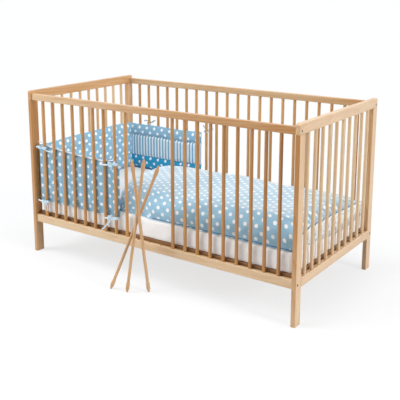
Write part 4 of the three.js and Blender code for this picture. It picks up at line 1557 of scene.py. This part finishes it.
run, count = lengths(path), len(levels)
heights = np.r_[levels, levels[::-1]]
is_outer = np.arange(2 * count) < count
depth = np.where(is_outer, outer_face(heights), inner_face(heights))
grid = bumper_grid(run, heights, is_outer, depth)
flat = np.stack(np.meshgrid(run, lengths(np.c_[heights, depth]), indexing="ij"), axis=-1)
flat[:, count:] += (dot_spacing / 2 - run[-1] % dot_spacing,      # the print starts anew inside
                    0.009 - flat[0, count, 1] % dot_spacing)
print("the bumper's grid has", grid.shape[0], "by", grid.shape[1], "points")

# %% [markdown]
# Which cloth a face gets follows from its row and from where it lies along the U: only the arms
# have the deep blue and the striped band. The outside, the inside and the narrow strips that join
# them at the top, the bottom and the two ends are patches of their own.

# %% Sew the bumper
on_arm = (run[:-1] < bumper_reach - bumper_corner) | (run[:-1] > run[-1] - back_reach + 0.012)
row_middle = (heights[:-1] + heights[1:]) / 2
deep_row = ~is_outer[:-1] & (row_middle < seam_heights[0])
striped_row = ~is_outer[:-1] & (row_middle > seam_heights[0]) & (row_middle < seam_heights[1])
kind = np.zeros((len(run) - 1, len(heights) - 1), int)
kind[np.ix_(on_arm, deep_row)] = 1
kind[np.ix_(on_arm, striped_row)] = 2
patches = [(grid[:, a:b], flat[:, a:b], kind[:, a:b - 1])
           for a, b in ((0, count), (count, 2 * count), (count - 1, count + 1))]
patches.append((grid[:, [-1, 0]], np.stack([flat[:, -1], flat[:, -1] + (0, 0.004)], axis=1), 0))
for end in (0, -1):
    sides_of_end = np.stack([grid[end, :count], grid[end, count:][::-1]], axis=1)
    flat_of_end = np.stack([flat[end, :count], flat[end, :count] + (0.01, 0)], axis=1)
    patches.append((sides_of_end, flat_of_end, (levels[:-1] + 0.001 < seam_heights[0])[:, None]))
bumper = sew(patches)
points = points_of(bumper)
to_path = points[:, None, :2] - (0, middle_y) - path[None, ::3]
from_path = np.min(np.linalg.norm(to_path, axis=2), axis=1)
cap = capped(np.where(from_path > 0.0085, 0.0035, 0.0006),
             *((np.abs(points[:, 2] - seam) < 0.006, 0.0008) for seam in seam_heights),
             (points[:, 2] < pad_low + 0.004, 0.0))
settle(bumper, cap, pressure=4, spare=0.035)
piece = place_pad("bumper_pad", bumper, "bumper_cotton", bumper_cotton, "bumper")
bumper.materials.append(band_cotton)
bumper.materials.append(striped_cotton)
print("the bumper has", len(bumper.vertices), "points")

# %% [markdown]
# ## Ties
# Six narrow strips of the bumper's own cotton are sewn to its edges and knotted round the slats.
# A strip is flat and thin, and a simulation at this size would tear it, so each is drawn one by
# one:
# a smooth line through a few points, and a ribbon swept along it whose flat side faces a chosen
# way. Round the slat that way is away from the slat's middle, and in the loops and tails it turns
# slowly, which gives them their twist.

# %% Sweep a ribbon
tie_width, tie_thickness = 0.0072, 0.0009
ribbon_section = [(-0.5, -0.2), (-0.42, -0.5), (0, -0.42), (0.42, -0.5), (0.5, -0.2),
                  (0.5, 0.2), (0.42, 0.5), (0, 0.58), (-0.42, 0.5), (-0.5, 0.2)]


def smooth_line(points, steps=7):
    points = [Vector(p) for p in points]
    points = [2 * points[0] - points[1], *points, 2 * points[-1] - points[-2]]
    line = []
    for a, b, c, d in zip(points, points[1:], points[2:], points[3:]):
        for t in (k / steps for k in range(steps)):
            line.append(0.5 * (2 * b + (c - a) * t + (2 * a - 5 * b + 4 * c - d) * t * t
                               + (3 * b - a - 3 * c + d) * t ** 3))
    return line + [points[-2]]


def ribbon(bm, layer, line, facing, start=0.0, width=tie_width, thickness=tie_thickness):
    section = [(a * width, b * thickness) for a, b in ribbon_section]
    return sweep(bm, layer, line, section, [a for a, _ in section + section[:1]], facing, start)


def place_strip(name, bm, finish, length):
    piece = place(name, crisp(mesh_from(bm), 50), "bed", "bumper_cotton", finish)
    print("  ", name, "is cut", round(length, 3), "m long")


bm, layer = new_cloth()
tape_y = middle_y - outer_y - 0.0004
tape_line = [(-0.692, 0.014), (-0.656, 0.009), (-0.631, 0.002), (-0.583, -0.007), (-0.500, -0.014),
             (-0.420, -0.020), (-0.320, -0.023), (-0.264, -0.022), (-0.212, -0.014)]
line = smooth_line([(x, tape_y, bumper_top + z) for x, z in tape_line], 9)
tape_length = ribbon(bm, layer, line, lambda *_: Vector((0, -0.55, 0.83)))
place_strip("bumper_edge_tape", bm, tape_cotton, tape_length)

# %% [markdown]
# A tie is one ribbon after another in the same mesh: two strands that come round the slat from
# the pad, a short turn that is the knot, and then the bow's loops and the tails.

# %% Knot a tie
def away_from(centre):
    """For a strip round something upright: its flat side faces away from it."""
    return lambda point, _: Vector((point.x - centre.x, point.y - centre.y, 0)).normalized()


def tie(name, slat_index, side, height, loops, tails, knot_shift=0.0):
    """Ties a strip round a slat. Loops and tails are lists of points in mm from the knot:
    along the crib, away from it, and up. A tail starts in the knot by itself."""
    out = Vector((0, sides[side], 0))
    centre = Vector((slat_index * slat_pitch, middle_y + out.y * slat_y, height))
    knot = centre + out * (slat_diameter / 2 + 0.0045) + Vector((knot_shift, 0, 0))
    bm, layer = new_cloth()

    def line_at(points, origin, steps=7):
        return smooth_line([origin + Vector((x, 0, up)) / 1000 + out * (away / 1000)
                            for x, away, up in points], steps)

    length = 0.0
    pad = -1000 * (slat_y - outer_y) - 1.2
    r = 500 * slat_diameter + 2.0
    for sign in (-1, 1):               # two strands, from the pad round either side of the slat
        strand = [(sign * 9, pad, -3), (sign * (r + 1.4), pad * 0.45, -1),
                  (sign * (r + 0.3), r * 0.3, 0), (sign * r * 0.62, r * 0.82, 0.5),
                  (sign * 0.1 * r, r + 0.6, 0.8)]
        length += ribbon(bm, layer, line_at(strand, centre), away_from(centre), length)
    turn = [(4.6 * math.cos(a), 0.8 + 2.6 * math.sin(a), 1.2 * math.sin(2 * a))
            for a in (math.radians(d) for d in range(0, 361, 45))]
    length += ribbon(bm, layer, line_at(turn, knot, 4), away_from(knot), length, 0.007, 0.0016)
    root = (0, 3 if side == "front" else 2, 0)
    for k, points in enumerate([*loops, *([root, *tail] for tail in tails)]):
        lean = Vector(((-1) ** k * 0.5, 0, 0.35))
        length += ribbon(bm, layer, line_at(points, knot), lambda point, share: (
            out + lean * (1.6 * share - 0.3)).normalized(), length)
    place_strip(name, bm, tie_cotton, length)


print("ties can be knotted")

# %% [markdown]
# Each tie has its own bow and tails, as no two knots lie alike. The front arm has two at its top
# and two at its lower edge, and the back arm has two small ones at its top.

# %% Tie the six ties
top_of_arm = bumper_top - 0.012
low_edge = bumper_low.z + 0.006
small_loop = [(0, 3, 0), (-9, 8, 5), (-20, 9, 8), (-25, 7, 3), (-18, 6, -2), (-8, 5, -1), (0, 3, 0)]
bow = [small_loop, [(-x * 1.15, y, z * 0.8) for x, y, z in small_loop]]
tiny_loop = [(x * 0.6, y, z * 0.6) for x, y, z in small_loop]
tie("tie_front_top_head", -10, "front", top_of_arm + 0.003, bow,
    [[(18, 6, -3), (34, 4, -10), (52, -2, -13)], [(-14, 6, 4), (-30, 5, 2), (-44, 0, 1)]])
tie("tie_front_top_end", -3, "front", top_of_arm - 0.012, bow,
    [[(-22, 7, -4), (-46, 4, -9), (-72, 1, -11)], [(-5, 8, -8), (-9, 6, -20), (-6, 4, -31)],
     [(10, 7, 9), (16, 6, 16)]])
tie("tie_front_low_head", -10, "front", low_edge, bow[1:],
    [[(-12, 6, -1), (-30, 3, 0), (-46, -1, 1)], [(14, 7, -6), (22, 6, -22), (20, 5, -45)]])
tie("tie_front_low_end", -3, "front", low_edge, bow,
    [[(-16, 8, -14), (-40, 8, -42), (-66, 7, -66)], [(-26, 6, -4), (-52, 3, -8)]], -0.006)
tie("tie_back_top_head", -9, "back", bumper_top + 0.004, [],
    [[(-14, 3, 7), (-30, 0, 9), (-44, -3, 6)], [(14, 3, 6), (24, 1, 13), (36, -1, 17)]])
tie("tie_back_top_end", -3, "back", bumper_top + 0.002, [tiny_loop],
    [[(-14, 4, 9), (-24, 2, 20), (-30, 1, 28)], [(12, 4, 5), (24, 3, 11), (34, 1, 16)]])
print("six ties")

# %% [markdown]
# ## Pieces
# The looks may stand a little proud of the frame where cloth swells, and no more.

# %% Count the pieces
print("pieces made:", len(made))
